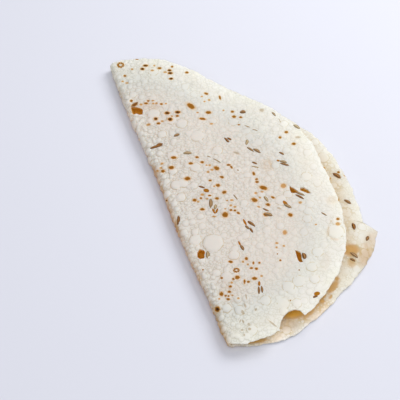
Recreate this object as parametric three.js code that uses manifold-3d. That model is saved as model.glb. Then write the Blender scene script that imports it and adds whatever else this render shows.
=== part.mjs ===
// A roasted papadum with cumin seeds, folded in half while it was still soft.
// It is one thin brittle sheet: a lower flap that lies on the table, a rounded
// fold along the left, and a wavy upper flap that stands a little open.
// Millimetres, +Z up. The fold runs along Y and the round rim points to +X.
// A place on the sheet is (s, v): v runs along the fold and s across it, with
// s above zero on the upper flap and below zero on the lower one.

import * as THREE from 'three';
import { mergeVertices } from 'three/addons/utils/BufferGeometryUtils.js';
import Module from 'manifold-3d';

const wasm = await Module();
wasm.setup();

const { clamp, degToRad, radToDeg, smoothstep } = THREE.MathUtils;

// The sheet and its fold
const THICKNESS = 1.3;
const FOLD_RADIUS = 2.85;
const FOLD_WANDER = { depth: 0.5, length: 14, shift: 0.6 };
const FLAP_WIDTH = 80;
const LOWER_FLAP_LEVEL = 1.1;
const UPPER_FLAP_RISE = 6;
const UPPER_FLAP_SAG = 0.25;
const MIDDLE = { s: -5, v: -3 };

// Distance from the sheet's middle to its rim, one value each 15 degrees:
// from the far end of the fold over the upper flap to the near end, and
// back round the lower flap
const REACH = [
  91.9, 90.3, 84.1, 78.8, 79.0, 80.6, 84.1, 86.7, 93.6, 98.4, 98.1, 94.1,
  88.8, 94.7, 96.1, 97.4, 94.2, 89.3, 85.0, 79.5, 76.5, 76.5, 80.5, 87.0,
];
const RIM_ROUGHNESS = 0.175;
const RIM_WAVES = [53, 17, 31];
const NEAR_END_NICK = { at: 177, spread: 4, depth: 2.2 };

// Broad swells of each flap
const UPPER_SWELLS = [
  { x: 26, y: 74, reach: 20, lift: 1.2 },
  { x: 54, y: 44, reach: 18, lift: -3.2 },
  { x: 80, y: 6, reach: 22, lift: 1.4 },
  { x: 45, y: -15, reach: 24, lift: -0.8 },
  { x: 62, y: -80, reach: 18, lift: 1.0 },
];
const LOWER_SWELLS = [
  { x: 84, y: -58, reach: 20, lift: 5.0 },
  { x: 88, y: 12, reach: 22, lift: 1.6 },
  { x: 40, y: 74, reach: 24, lift: 1.2 },
  { x: 50, y: -20, reach: 22, lift: 0.8 },
];
const SWELL_START = 15;

// The corner of the lower flap's rim that cracked and hangs down past a
// crease. It reaches further out between two directions from the middle, and
// that starts in the outermost part of the sheet.
const CORNER = { from: 217, to: 239, extra: 7.8, starts: 0.85 };
const CREASE = { x: 83.6, y: -53.4, turn: -29.6, slope: 0.6, softness: 0.8 };

// What is missing from the upper flap: the burst blister at the rim, and
// holes where steam broke through beside a seed
const BURST = { x: 30.8, y: -93.4, length: 14.8, width: 14.4, turn: 0 };
const HOLES = [
  { x: 4.6, y: 51.2, length: 6.2, width: 4.4, turn: -20 },
  { x: 5.3, y: -42.0, length: 5.4, width: 4.2, turn: 75 },
  { x: 60.1, y: -25.4, length: 5.2, width: 3.6, turn: -60 },
  { x: 64.8, y: -28.0, length: 5.6, width: 2.4, turn: -45 },
  { x: 47.9, y: -61.8, length: 6.4, width: 2.6, turn: -85 },
];
const CUT_LEVEL = 4.6;
const CUT_HEIGHT = 20;
const CUT_SIDES = 13;
const CUT_BUMPS = { three: 0.09, five: 0.06 };

// Cumin seeds, each with its middle, its direction in degrees and its length
const SEED = { width: 1.5, height: 1.3, around: 5, along: 4 };
const UPPER_SEEDS = [
  { x: 19.0, y: 15.4, turn: -23, length: 4.5 },
  { x: 40.3, y: 15.2, turn: -70, length: 4.8 },
  { x: 49.0, y: 10.2, turn: -120, length: 3.6 },
  { x: 48.4, y: 5.4, turn: -61, length: 4.7 },
  { x: 52.1, y: 3.0, turn: -57, length: 4.8 },
  { x: 54.6, y: 29.8, turn: -27, length: 3.4 },
  { x: 47.9, y: -2.6, turn: -47, length: 3.4 },
  { x: 68.2, y: 21.3, turn: -79, length: 3.6 },
  { x: 75.0, y: 8.6, turn: -62, length: 4.6 },
  { x: 62.3, y: -3.4, turn: -56, length: 3.4 },
  { x: 61.2, y: -9.4, turn: -40, length: 5.4 },
  { x: 18.5, y: -6.7, turn: -40, length: 3.8 },
  { x: 19.0, y: -17.0, turn: -109, length: 5.9 },
  { x: 21.2, y: -20.8, turn: -121, length: 3.4 },
  { x: 3.0, y: -20.4, turn: -118, length: 5.1 },
  { x: 45.1, y: -25.2, turn: -79, length: 4.4 },
  { x: 42.2, y: -33.9, turn: -42, length: 4.6 },
  { x: 31.0, y: -38.8, turn: -76, length: 4.8 },
  { x: 34.2, y: -35.6, turn: -66, length: 5.1 },
  { x: 60.4, y: -31.0, turn: -56, length: 5.2 },
  { x: 53.2, y: -33.5, turn: -56, length: 5.0 },
  { x: 67.2, y: -44.2, turn: -57, length: 3.9 },
  { x: 24.2, y: -46.9, turn: -82, length: 3.6 },
  { x: 22.6, y: -71.1, turn: -109, length: 4.3 },
  { x: 5.4, y: 25.5, turn: -4, length: 7.4 },
  { x: 14.3, y: -76.2, turn: -108, length: 2.8 },
];
const LOWER_SEEDS = [
  { x: 86.0, y: -19.0, turn: -58, length: 5.1 },
  { x: 84.5, y: -36.4, turn: -66, length: 4.5 },
  { x: 80.1, y: -52.2, turn: -102, length: 4.3 },
  { x: 73.6, y: -66.9, turn: -61, length: 4.3 },
  { x: 83.9, y: -59.8, turn: 33, length: 3.2 },
];

// Large blisters seen on the upper flap, and how the rest are strewn
const LARGE_BLISTERS = [
  { x: 12.2, y: -38.4, radius: 5.4 },
  { x: 8.6, y: -0.6, radius: 4.4 },
  { x: 22.8, y: 34.7, radius: 4.0 },
  { x: 66.0, y: -20.0, radius: 4.0 },
  { x: 68.0, y: -54.0, radius: 6.0 },
  { x: 36.2, y: -74.3, radius: 4.0 },
  { x: 23.6, y: -78.0, radius: 4.0 },
];
const STREWN = { tries: 420, smallest: 2.8, largest: 5.4, spacing: 0.9 };
const BLISTER_RISE = 0.22;
const CRAZE = 0.16;
const RANDOM_SEED = 7;

// The mesh of the sheet: rings of triangles, drawn closer across the fold
const RINGS = 26;
const FOLD_CLOSENESS = 0.55;
const FOLD_BAND = 12;
const RIM_KEPT = { from: 0.3, to: 0.6, bands: 3 };
const PROBE = 0.05;
const WELD = 1e-4;

const BEND = (Math.PI / 2) * FOLD_RADIUS;
const FOLD_EDGE = THICKNESS / 2 + FOLD_RADIUS;
const ROOM_AT_FOLD = BEND - FOLD_EDGE;
const FOLD_LEVEL = LOWER_FLAP_LEVEL + FOLD_RADIUS;
const FULL_TURN = 2 * Math.PI;

// Seeded numbers from 0 to 1
function makeRandom(seed) {
  let state = seed;
  return () => {
    state = (state + 0x6d2b79f5) | 0;
    let bits = Math.imul(state ^ (state >>> 15), 1 | state);
    bits = (bits + Math.imul(bits ^ (bits >>> 7), 61 | bits)) ^ bits;
    return ((bits ^ (bits >>> 14)) >>> 0) / 2 ** 32;
  };
}

// Distance from the middle to the rim: a smooth closed curve through REACH
// with a slightly broken edge
function rimReach(turn) {
  const count = REACH.length;
  const share = turn / FULL_TURN;
  const place = (share - Math.floor(share)) * count;
  const index = Math.floor(place);
  const t = place - index;
  const [a, b, c, d] = [-1, 0, 1, 2].map((step) => REACH[(index + step + count) % count]);
  const smooth = b * (2 * t ** 3 - 3 * t ** 2 + 1) + c * (3 * t ** 2 - 2 * t ** 3)
    + ((c - a) / 2) * (t ** 3 - 2 * t ** 2 + t) + ((d - b) / 2) * (t ** 3 - t ** 2);
  const broken = RIM_WAVES.reduce((sum, waves, order) => sum + Math.sin(waves * turn + order), 0);
  const fromNick = ((360 * place) / count - NEAR_END_NICK.at) / NEAR_END_NICK.spread;
  const nick = NEAR_END_NICK.depth * Math.exp(-(fromNick ** 2));
  return smooth + RIM_ROUGHNESS * broken - nick;
}

// How much further the cracked corner reaches in a direction
function cornerReach(turn) {
  const degrees = radToDeg(turn);
  if (degrees < CORNER.from || degrees > CORNER.to) return 0;
  return (CORNER.extra * (degrees - CORNER.from)) / (CORNER.to - CORNER.from);
}

function swell(swells, x, y) {
  return swells.reduce((sum, one) => {
    const square = (x - one.x) ** 2 + (y - one.y) ** 2;
    return sum + one.lift * Math.exp(-square / one.reach ** 2);
  }, 0);
}

// Height of each flap's mid-surface above the table
function upperLevel(x, y) {
  const run = Math.max(x - FOLD_EDGE, 0);
  const share = run / FLAP_WIDTH;
  const rise = UPPER_FLAP_RISE * ((1 + UPPER_FLAP_SAG) * share - UPPER_FLAP_SAG * share ** 2);
  const fade = smoothstep(run, 0, SWELL_START);
  return FOLD_LEVEL + FOLD_RADIUS + rise + fade * swell(UPPER_SWELLS, x, y);
}

function lowerLevel(x, y) {
  const run = Math.max(x - FOLD_EDGE, 0);
  const turn = degToRad(CREASE.turn);
  const past = (x - CREASE.x) * Math.cos(turn) + (y - CREASE.y) * Math.sin(turn);
  const drop = (CREASE.slope * (past + Math.hypot(past, CREASE.softness))) / 2;
  const fade = smoothstep(run, 0, SWELL_START);
  return LOWER_FLAP_LEVEL + fade * (swell(LOWER_SWELLS, x, y) - drop);
}

// Middle of the sheet's thickness at (s, v)
function midPoint(s, v) {
  const side = Math.sign(s);
  const bow = clamp(Math.abs(s), 0, BEND) / FOLD_RADIUS;
  const run = Math.max(Math.abs(s) - BEND, 0);
  const { depth, length, shift } = FOLD_WANDER;
  const wander = depth * Math.sin(v / length + shift) * Math.exp(-((s / length) ** 2));
  const x = THICKNESS / 2 + FOLD_RADIUS * (1 - Math.cos(bow)) + run + wander;
  if (run === 0) return new THREE.Vector3(x, v, FOLD_LEVEL + side * FOLD_RADIUS * Math.sin(bow));
  return new THREE.Vector3(x, v, side > 0 ? upperLevel(x, v) : lowerLevel(x, v));
}

// Direction that points out of the fold at (s, v)
function outward(s, v) {
  const across = midPoint(s + PROBE, v).sub(midPoint(s - PROBE, v));
  const along = midPoint(s, v + PROBE).sub(midPoint(s, v - PROBE));
  return across.cross(along).normalize();
}

// Blisters strewn over one face of the sheet, none on top of another
function strewBlisters(random, first) {
  const blisters = [...first];
  for (let attempt = 0; attempt < STREWN.tries; attempt += 1) {
    const turn = FULL_TURN * random();
    const distance = rimReach(turn) * Math.sqrt(random());
    const radius = STREWN.smallest + (STREWN.largest - STREWN.smallest) * random() ** 2;
    const one = {
      s: MIDDLE.s + distance * Math.sin(turn),
      v: MIDDLE.v + distance * Math.cos(turn),
      radius,
    };
    const clear = blisters.every((other) => {
      const gap = Math.hypot(one.s - other.s, one.v - other.v);
      return gap > STREWN.spacing * (one.radius + other.radius);
    });
    if (clear) blisters.push(one);
  }
  return blisters;
}

// Height of the round-topped blisters above the plain sheet
function relief(blisters, s, v) {
  return blisters.reduce((height, one) => {
    const share = Math.hypot(s - one.s, v - one.v) / one.radius;
    if (share >= 1) return height;
    return Math.max(height, BLISTER_RISE * one.radius * Math.sqrt(1 - share ** 2));
  }, 0);
}

// (s, v) of one place in the mesh: the ring, and the share of a turn round it
function ringPlace(ring, share) {
  const turn = FULL_TURN * share;
  const out = ring / RINGS;
  const distance = out * rimReach(turn) + smoothstep(out, CORNER.starts, 1) * cornerReach(turn);
  const s = MIDDLE.s + distance * Math.sin(turn);
  const v = MIDDLE.v + distance * Math.cos(turn);
  const pull = FOLD_CLOSENESS * Math.exp(-((s / FOLD_BAND) ** 2) / 2);
  const drawn = s * (1 - pull);
  const drawnTurn = Math.atan2(drawn - MIDDLE.s, v - MIDDLE.v);
  const drawnDistance = Math.hypot(drawn - MIDDLE.s, v - MIDDLE.v);
  const kept = out * rimReach(drawnTurn);
  const beside = Math.abs(s) > RIM_KEPT.bands * FOLD_BAND;
  const near = beside ? 0 : smoothstep(out, RIM_KEPT.from, RIM_KEPT.to);
  const scale = 1 + near * (kept / Math.max(drawnDistance, 1) - 1);
  return {
    s: MIDDLE.s + (drawn - MIDDLE.s) * scale,
    v: MIDDLE.v + (v - MIDDLE.v) * scale,
  };
}

// The sheet as one closed solid: outer face, inner face and the rim between
function makeSheet(random) {
  const known = LARGE_BLISTERS.map(({ x, y, radius }) => ({ s: x + ROOM_AT_FOLD, v: y, radius }));
  const outerBlisters = strewBlisters(random, known);
  const innerBlisters = strewBlisters(random, []);
  const outer = [];
  const inner = [];
  for (let ring = 0; ring <= RINGS; ring += 1) {
    const steps = Math.max(6 * ring, 1);
    for (let step = 0; step < steps; step += 1) {
      const { s, v } = ringPlace(ring, step / steps);
      const middle = midPoint(s, v);
      const out = outward(s, v);
      const edge = ring === RINGS ? 0 : 1;
      const outerHeight = THICKNESS / 2 + edge * (relief(outerBlisters, s, v) + CRAZE * random());
      const innerHeight = THICKNESS / 2 + edge * (relief(innerBlisters, s, v) + CRAZE * random());
      const outerPoint = middle.clone().addScaledVector(out, outerHeight);
      outerPoint.z = Math.max(outerPoint.z, 0);
      outer.push(outerPoint);
      inner.push(middle.clone().addScaledVector(out, -innerHeight));
    }
  }

  const triangles = [];
  const count = outer.length;
  const addBoth = (a, b, c) => triangles.push(a, c, b, count + a, count + b, count + c);
  const first = (ring) => (ring === 0 ? 0 : 1 + 3 * ring * (ring - 1));
  const at = (ring, step) => first(ring) + (step % Math.max(6 * ring, 1));
  for (let ring = 1; ring <= RINGS; ring += 1) {
    for (let sector = 0; sector < 6; sector += 1) {
      for (let step = 0; step < ring; step += 1) {
        const low = sector * (ring - 1) + step;
        const high = sector * ring + step;
        addBoth(at(ring - 1, low), at(ring, high), at(ring, high + 1));
        if (step < ring - 1) addBoth(at(ring - 1, low), at(ring, high + 1), at(ring - 1, low + 1));
      }
    }
  }
  for (let step = 0; step < 6 * RINGS; step += 1) {
    const a = at(RINGS, step);
    const b = at(RINGS, step + 1);
    triangles.push(a, b, count + a, b, count + b, count + a);
  }

  const geometry = new THREE.BufferGeometry().setFromPoints([...outer, ...inner]);
  geometry.setIndex(triangles);
  return geometry;
}

// A seed lies half sunk in the sheet, on the face that is given
function makeSeed({ x, y, turn, length }, level, tilt) {
  const seed = new THREE.SphereGeometry(0.5, SEED.around, SEED.along);
  seed.scale(SEED.width, length, SEED.height);
  seed.rotateZ(degToRad(turn - 90));
  seed.applyQuaternion(new THREE.Quaternion().setFromUnitVectors(new THREE.Vector3(0, 0, 1), tilt));
  return seed.translate(x, y, level);
}

function makeUpperSeed(row) {
  const tilt = outward(row.x + ROOM_AT_FOLD, row.y);
  return makeSeed(row, upperLevel(row.x, row.y) + THICKNESS / 2, tilt);
}

function makeLowerSeed(row) {
  const tilt = outward(-row.x - ROOM_AT_FOLD, row.y).negate();
  return makeSeed(row, lowerLevel(row.x, row.y) + THICKNESS / 2, tilt);
}

// An uneven rounded block that cuts through the upper flap alone
function makeCutter({ x, y, length, width, turn }) {
  const points = [];
  for (let side = 0; side < CUT_SIDES; side += 1) {
    const angle = (FULL_TURN * side) / CUT_SIDES;
    const uneven = 1 + CUT_BUMPS.three * Math.sin(3 * angle + x) + CUT_BUMPS.five * Math.sin(5 * angle + y);
    points.push(new THREE.Vector2(
      (length / 2) * uneven * Math.cos(angle),
      (width / 2) * uneven * Math.sin(angle),
    ));
  }
  const block = new THREE.ExtrudeGeometry(new THREE.Shape(points), {
    depth: CUT_HEIGHT,
    bevelEnabled: false,
  });
  block.rotateZ(degToRad(turn));
  return block.translate(x, y, CUT_LEVEL);
}

function toManifold(geometry) {
  const bare = geometry.clone();
  bare.deleteAttribute('normal');
  bare.deleteAttribute('uv');
  const merged = mergeVertices(bare, WELD);
  return new wasm.Manifold(new wasm.Mesh({
    numProp: 3,
    vertProperties: Float32Array.from(merged.attributes.position.array),
    triVerts: Uint32Array.from(merged.index.array),
  }));
}

function toGeometry(solid) {
  const { vertProperties, triVerts } = solid.getMesh();
  const geometry = new THREE.BufferGeometry();
  geometry.setAttribute('position', new THREE.BufferAttribute(vertProperties, 3));
  geometry.setIndex(new THREE.BufferAttribute(triVerts, 1));
  return geometry;
}

// The whole papadum, with the middle of its footprint at the origin
function makePapadum() {
  const random = makeRandom(RANDOM_SEED);
  let solid = toManifold(makeSheet(random));
  for (const hole of [BURST, ...HOLES]) solid = solid.subtract(toManifold(makeCutter(hole)));
  for (const row of UPPER_SEEDS) solid = solid.add(toManifold(makeUpperSeed(row)));
  for (const row of LOWER_SEEDS) solid = solid.add(toManifold(makeLowerSeed(row)));
  const geometry = toGeometry(solid);
  geometry.computeBoundingBox();
  const { min, max } = geometry.boundingBox;
  geometry.translate(-(min.x + max.x) / 2, -(min.y + max.y) / 2, -min.z);
  geometry.computeVertexNormals();
  return geometry;
}

const roastedDough = new THREE.MeshStandardMaterial({
  color: 0xe6dfd2,
  roughness: 0.75,
  metalness: 0,
  flatShading: true,
});

const papadum = new THREE.Mesh(makePapadum(), roastedDough);
papadum.name = 'papadum';

const group = new THREE.Group();
group.add(papadum);

export default group;
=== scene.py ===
"""A roasted papadum with cumin seeds, folded in half, on a pale table in soft light.

The sheet is made as the dough is: rolled flat and round, with its holes punched while it
is flat, then folded over and blistered by the heat. A place on it is (s, v) in
millimetres: v runs along the fold and s across it, above zero on the upper flap and below
zero on the lower one. The fold frame has its origin on the table, under the outer edge of
the fold at mid length. Marks that the photograph shows are placed by its 400 by 400 pixels
and lie on the face that carries them.
"""

import logging
from collections.abc import Iterator
from contextlib import contextmanager
from dataclasses import dataclass, field
from enum import Enum

import bpy
import numpy as np
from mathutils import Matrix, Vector


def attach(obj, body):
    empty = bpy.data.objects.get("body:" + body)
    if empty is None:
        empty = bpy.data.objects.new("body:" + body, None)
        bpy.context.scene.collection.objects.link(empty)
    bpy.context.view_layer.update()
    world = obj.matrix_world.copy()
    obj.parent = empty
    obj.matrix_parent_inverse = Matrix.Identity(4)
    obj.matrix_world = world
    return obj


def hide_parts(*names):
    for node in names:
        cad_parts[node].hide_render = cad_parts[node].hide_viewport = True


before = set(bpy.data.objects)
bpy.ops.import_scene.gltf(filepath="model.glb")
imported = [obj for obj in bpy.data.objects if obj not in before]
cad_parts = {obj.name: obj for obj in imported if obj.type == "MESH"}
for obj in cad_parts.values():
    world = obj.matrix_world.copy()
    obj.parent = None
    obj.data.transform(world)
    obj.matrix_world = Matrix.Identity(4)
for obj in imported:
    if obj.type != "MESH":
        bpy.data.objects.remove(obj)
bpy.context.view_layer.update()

log = logging.getLogger("papadum")

MM = 0.001
IMAGE_SIDE = 400

# Where the fold frame's origin lies in the part's own frame, in millimetres
FOLD_AT = np.array([-44.686, 2.709, 0.0])

# The least height above the table, in millimetres
TABLE_GAP = 0.03

# How far out from the slab's middle level, where 1 is a face, a point counts as on a face
ON_FACE = 0.99

# Below this a length counts as nothing
NO_LENGTH = 1e-6

# Where the random draws start, for the blisters and the spots of the two faces and for the cumin
OUTER_BLISTERS, INNER_BLISTERS, OUTER_SPOTS, INNER_SPOTS, STREWN_CUMIN = 11, 12, 21, 22, 31


class Face(Enum):
    """The two faces of the sheet: the one outside the fold, and the one inside it."""

    OUTER = 1
    INNER = -1


class Tone(Enum):
    """How far a spot is toasted, from a blush to black."""

    FAINT = 0.18
    PALE = 0.3
    BROWN = 0.65
    BURNT = 1.0


# Toasted spots that the photograph shows on the upper flap, in its pixels: the middle,
# the width and the height, and for a slanted one how far its width is turned down
SEEN_SPOTS: dict[Tone, tuple[tuple[float, ...], ...]] = {
    Tone.BURNT: (
        (145.6, 65.6, 5, 2.4), (142.4, 69, 4.2, 2.6), (169.5, 70.3, 4, 2.4), (170.2, 73.1, 5, 2.6),
        (171.1, 78.7, 4.2, 2.2), (167.1, 113, 5.5, 3), (177.7, 112.2, 5.5, 3), (170.1, 119.3, 5, 3.6),
        (155.8, 118.8, 4, 3.3), (217.4, 309.2, 5.2, 5.8), (202.9, 269.7, 1.6, 1.4),
        (277.4, 253.9, 1.3, 1.2), (299.2, 270, 1.2, 1.2), (290.4, 300.4, 1.2, 1.2),
        (166.6, 200.5, 1.8, 1.8),
    ),
    Tone.BROWN: (
        (134.4, 104.9, 7.4, 3, -28), (161.4, 104, 3, 2), (163, 171.2, 3.8, 3),
        (194.6, 200.2, 4, 3), (137, 59.2, 3, 1.2), (159.6, 68.2, 4, 2.2), (172.1, 66.7, 2.5, 2),
        (186.9, 72.5, 3.6, 2.2),
        (124.9, 75.9, 3, 2.1), (131.3, 100.8, 3, 2.4), (146, 103.3, 4, 2), (148.2, 100.9, 2.6, 1.8),
        (158.5, 123.4, 3.6, 2.3), (177.2, 115.9, 3.2, 2), (190.9, 106.1, 8.6, 4.6, 32),
        (206.2, 93.6, 4.2, 2.2, 15), (219.9, 97.6, 4, 2.2, 70), (208.5, 112.5, 5.5, 3),
        (202.5, 118.8, 6.4, 2.4, 8), (232.4, 111.6, 3.4, 2.2), (234, 116.6, 3.8, 2.6),
        (240.7, 117.3, 3, 2), (238.9, 124.7, 2.5, 1.3), (286.3, 132.2, 3.7, 2.6),
        (280, 137.4, 3, 2.4), (293.7, 143.8, 4.3, 2.4), (173.7, 157.6, 5.5, 3),
        (171.3, 167.6, 5.5, 3.5), (197.1, 157.2, 3.5, 2.2), (190.7, 163.4, 4.6, 2.4),
        (202.2, 162.2, 3.7, 2.4), (216.5, 168.2, 5.7, 3.8, 20), (221.9, 177.1, 4.4, 2.3, 15),
        (210.1, 180.5, 3.4, 1.8), (218, 185.3, 4.4, 3), (187.4, 178.6, 6, 3.6, -8),
        (224.2, 192.3, 4.2, 3.2, -20), (209.7, 195.5, 3.3, 1.7), (216.9, 198.4, 4, 2.5),
        (200.9, 198.2, 2.5, 2), (231, 210, 3, 2.2), (234.9, 210.4, 2.7, 2),
        (238.3, 213, 3.7, 2.2, 25), (202.3, 209.3, 4.5, 2.6), (225.2, 214.7, 6, 5.6),
        (253.8, 173.7, 3.9, 2.6, 65), (256.6, 179.3, 2.8, 2.4), (257, 181.9, 3.3, 2.3),
        (263.4, 187.8, 8, 3.9, 17), (254.5, 200, 6.2, 4, 20), (272.9, 197.3, 4.1, 2.2, 20),
        (268, 204.6, 4.4, 2.9, 15), (290.4, 214.9, 4.8, 3.5, 20), (337.9, 219, 3.4, 2.4),
        (230.6, 261.8, 4.4, 2.5, 10), (237.3, 277.3, 5, 3.8), (233.5, 278.9, 3, 2.1),
        (221.6, 278, 2.5, 2), (254.5, 278.5, 5, 3.1), (244.6, 281.6, 4.6, 2.2, 90),
        (248.3, 281.8, 3.2, 2.1), (230.4, 286.5, 3.1, 2.4), (229.3, 291.8, 3.5, 2.4),
        (221.4, 294.1, 3.8, 4.3), (225.6, 295.8, 2.4, 1.8), (228.6, 296.1, 2, 1.8),
        (228.1, 299.2, 3.4, 2.3), (246.4, 258.6, 3, 3), (253.4, 262.9, 2, 3),
        (259.4, 262.8, 2.3, 2.2), (251.3, 268.1, 3.3, 2), (256.4, 268.7, 3.1, 2.6),
        (280.4, 260.3, 2, 1.8), (265.8, 214.6, 5, 3.6, 15), (228.7, 164.9, 4, 1.9, 0),
        (231.3, 167, 3.6, 1.9, 50),
    ),
    Tone.PALE: (
        (122.6, 81.4, 2.4, 1.6), (132, 69.2, 2.4, 1.6), (152.2, 70.4, 3, 1.6), (154.3, 65.6, 2, 1.4),
        (165.2, 72.1, 3.2, 1.6), (126.8, 83, 3, 1.5), (141, 104.5, 2.6, 1.8), (152.9, 100.6, 2.4, 1.4),
        (153.3, 103.4, 2.3, 1.6), (156.4, 103.3, 2.6, 1.6), (165.9, 103.6, 2.2, 1.4),
        (209.1, 100, 2.6, 1.8), (204.5, 101.5, 2, 1.5), (223.4, 110.4, 2, 1.3), (201.8, 96.5, 2, 1.3),
        (197.6, 112.5, 2.2, 1.3), (211.5, 123.8, 3, 1.6), (162.2, 121.2, 2.7, 1.8),
        (148.5, 124.6, 4, 2, -15), (171.9, 116.2, 2.2, 1.5), (162, 163.6, 2.7, 1.9, -20),
        (160.7, 168, 2.4, 1.8), (157.5, 170.8, 2.4, 1.6), (209.5, 165.2, 2.6, 1.6),
        (206.6, 165.2, 2, 1.4), (211.9, 169.7, 2.8, 1.8), (208.1, 171.9, 2.7, 2),
        (214.2, 186.3, 1.8, 1.6), (202.4, 194.6, 3.2, 2.2), (207.2, 198.6, 2.2, 1.4),
        (198.1, 201.7, 2.6, 1.7), (227.1, 200.4, 2.2, 1.3), (231.7, 200.1, 3, 1.9),
        (230.9, 205.4, 2.5, 1.8), (234.9, 206.8, 2.8, 1.8), (225.3, 208.8, 2.2, 1.2),
        (255.7, 193.1, 2.6, 2), (259.9, 197.5, 2.2, 1.6), (258.8, 206.8, 3, 1.5, 20),
        (262, 191.8, 3, 1.4), (283.5, 185.8, 5.2, 4.2), (284.8, 232.4, 4, 4.2),
        (300.3, 202.5, 3, 2.1), (315.9, 224.5, 2, 1.3), (276.8, 243.1, 3, 1.8),
        (283.8, 245.8, 2.2, 1.8), (276.6, 247.4, 2.1, 1.7), (337.8, 223.8, 4, 3),
        (261.6, 276, 2.5, 1.8), (243, 261.7, 2.2, 2), (247.8, 264.4, 1.8, 1.8), (231.7, 282.7, 2.3, 1.6),
        (232.4, 295.2, 2, 1.3), (219.2, 298.8, 2.1, 1.6), (238.4, 298.3, 2.4, 1.8),
        (214, 216.6, 3.5, 1.5),
    ),
    Tone.FAINT: (
        (245.1, 305.5, 4.6, 2.2, 70), (242.8, 312.3, 5.2, 3, 62), (255.8, 309.5, 3.4, 2.2, 120),
        (240.2, 321, 3.6, 1.6, 110), (243.1, 321.4, 3.6, 2, 70), (248.8, 324.2, 2.8, 2.6),
        (249.6, 329, 3.4, 2.8), (244.2, 334.9, 2.4, 2, 90), (242, 330, 2.4, 2),
        (261.9, 110.2, 5, 3.6), (297.8, 137.2, 5.5, 2.2), (279.8, 120.6, 5, 1.2, 60),
        (272.5, 323.5, 12.5, 1.7, 38), (246.2, 296.6, 6, 1.6, 80), (278.9, 208.2, 4.6, 2, 20),
        (236.6, 153, 8, 2.4, 20),
    ),
}

# Small bubbles that burst and left a toasted ring, in pixels, and the spots of each ring
TOASTED_RINGS = ((120.6, 65, 5.2, 4, Tone.BROWN), (236.4, 270.2, 4.6, 3.2, Tone.BROWN))
RING_SPOTS = 9
RING_SPOT = (2.3, 1.8)

# Slits that opened beside the seeds, in pixels, painted with the amber shade of the hollow seen through
# them
OPEN_SLITS = (
    (244.8, 222.2, 7.4, 2.2, 62), (249.5, 222.9, 5, 2.1, 45), (239.5, 243.4, 5.2, 2, 63),
    (213.9, 211.2, 6, 2.4, 58), (216.7, 211, 5.4, 2.1, 112), (206.3, 190.5, 5.8, 3.8, 10),
    (285.4, 203.4, 7, 3.4, 48), (278.1, 160.6, 3.2, 1.9, 10), (259.2, 283.5, 4.8, 2.6, 90),
    (317, 293.6, 6.2, 4, -10),
)

# Outlines of the holes that go through the upper flap, and of the burst blister at its
# rim, in pixels
HOLE_OUTLINES = (
    ((131.8, 106.6), (135, 106), (138.6, 106.8), (142.8, 108.2), (143.8, 110.6), (143.2, 114.4),
     (140.6, 115), (137.8, 113.8), (134.6, 114.2), (132.6, 111)),
    ((200.4, 248.8), (204, 249.4), (205.8, 251.6), (205, 255), (204.8, 258.6), (200.6, 259.4),
     (198, 257.2), (197.9, 252)),
    ((289.6, 185.6), (293.6, 187.6), (299.8, 192), (296, 192.8), (291.4, 193), (289.8, 189)),
    ((299.8, 187.2), (303.6, 186.6), (307.8, 188.8), (311.4, 193), (308, 193.2), (303.6, 191.4),
     (300.6, 190.4)),
    ((295.2, 249.8), (298, 250.6), (300.6, 251.8), (301.6, 255), (301.8, 258.6), (303.4, 262),
     (300.6, 262.4), (298.2, 260.4), (296.8, 256.4)),
)
BURST_OUTLINE = (
    (279.3, 328.2), (281, 321), (283, 316.6), (286, 313), (289.3, 310.4), (294.6, 308.6),
    (300, 309.5), (302.7, 312.1), (304.5, 313.9), (312, 330), (290, 345),
)

# Painted warm shade on the inner face of the lower flap: golden patches where it lies in shade, under the
# upper flap's rim, in the burst notch and on the drooping corner, in pixels, with their strength last
GOLDEN_SHADE_PATCHES = (
    (351, 250, 19, 13, 0, 0.5), (352, 263, 10, 12, 0, 0.2), (366, 246, 7, 8, 0, 0.2),
    (366, 257, 22, 26, 15, 0.2), (371, 244, 20, 34, 15, 0.14), (333, 222, 8, 14, 0, 0.2),
    (329, 195, 8, 18, -20, 0.2), (333, 287, 19, 7, -50, 0.45), (337, 279, 5, 5, 0, 0.5),
    (330.5, 297, 5, 3, -45, 0.5), (322, 301, 6, 5, 0, 0.6), (323.5, 296.5, 9, 3, -45, 0.5),
    (317, 305, 12, 2.6, -45, 0.4), (309, 313, 22, 7, -42, 0.42), (294, 312, 34, 15, -8, 0.7),
    (288, 325, 30, 26, -25, 0.11), (316, 311, 40, 24, -42, 0.15), (256, 341, 27, 5, -8, 0.6),
    (272, 339, 34, 12, -20, 0.14), (231, 341.5, 10, 3, 0, 0.5),
)

# Painted light: the lower flap's near corner lets less light through, so that it shows brighter where the
# upper flap shades it, in pixels
SHADE_LIFT_CORNER = (297, 331, 96, 34, -33)

# Painted shade on the upper flap: faint tan patches where it lies in shade, and thin lines of shade round
# a large bubble near its rim, in pixels, with their strength last
TAN_SHADE_PATCHES = (
    (267, 165, 15, 17, 0, 0.13), (332, 200, 16, 12, 0, 0.13), (325, 262, 14, 26, 10, 0.08),
    (150, 106, 34, 9, 5, 0.12), (160, 170, 16, 10, 0, 0.1), (228, 288, 26, 34, 20, 0.08),
    (208, 200, 34, 26, 20, 0.06), (246, 262, 30, 16, 0, 0.06), (328.2, 231, 16, 3.4, 95, 0.2),
    (331.4, 221.8, 8, 3, 130, 0.18), (335, 239.2, 13, 3.2, 8, 0.2),
)

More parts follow.
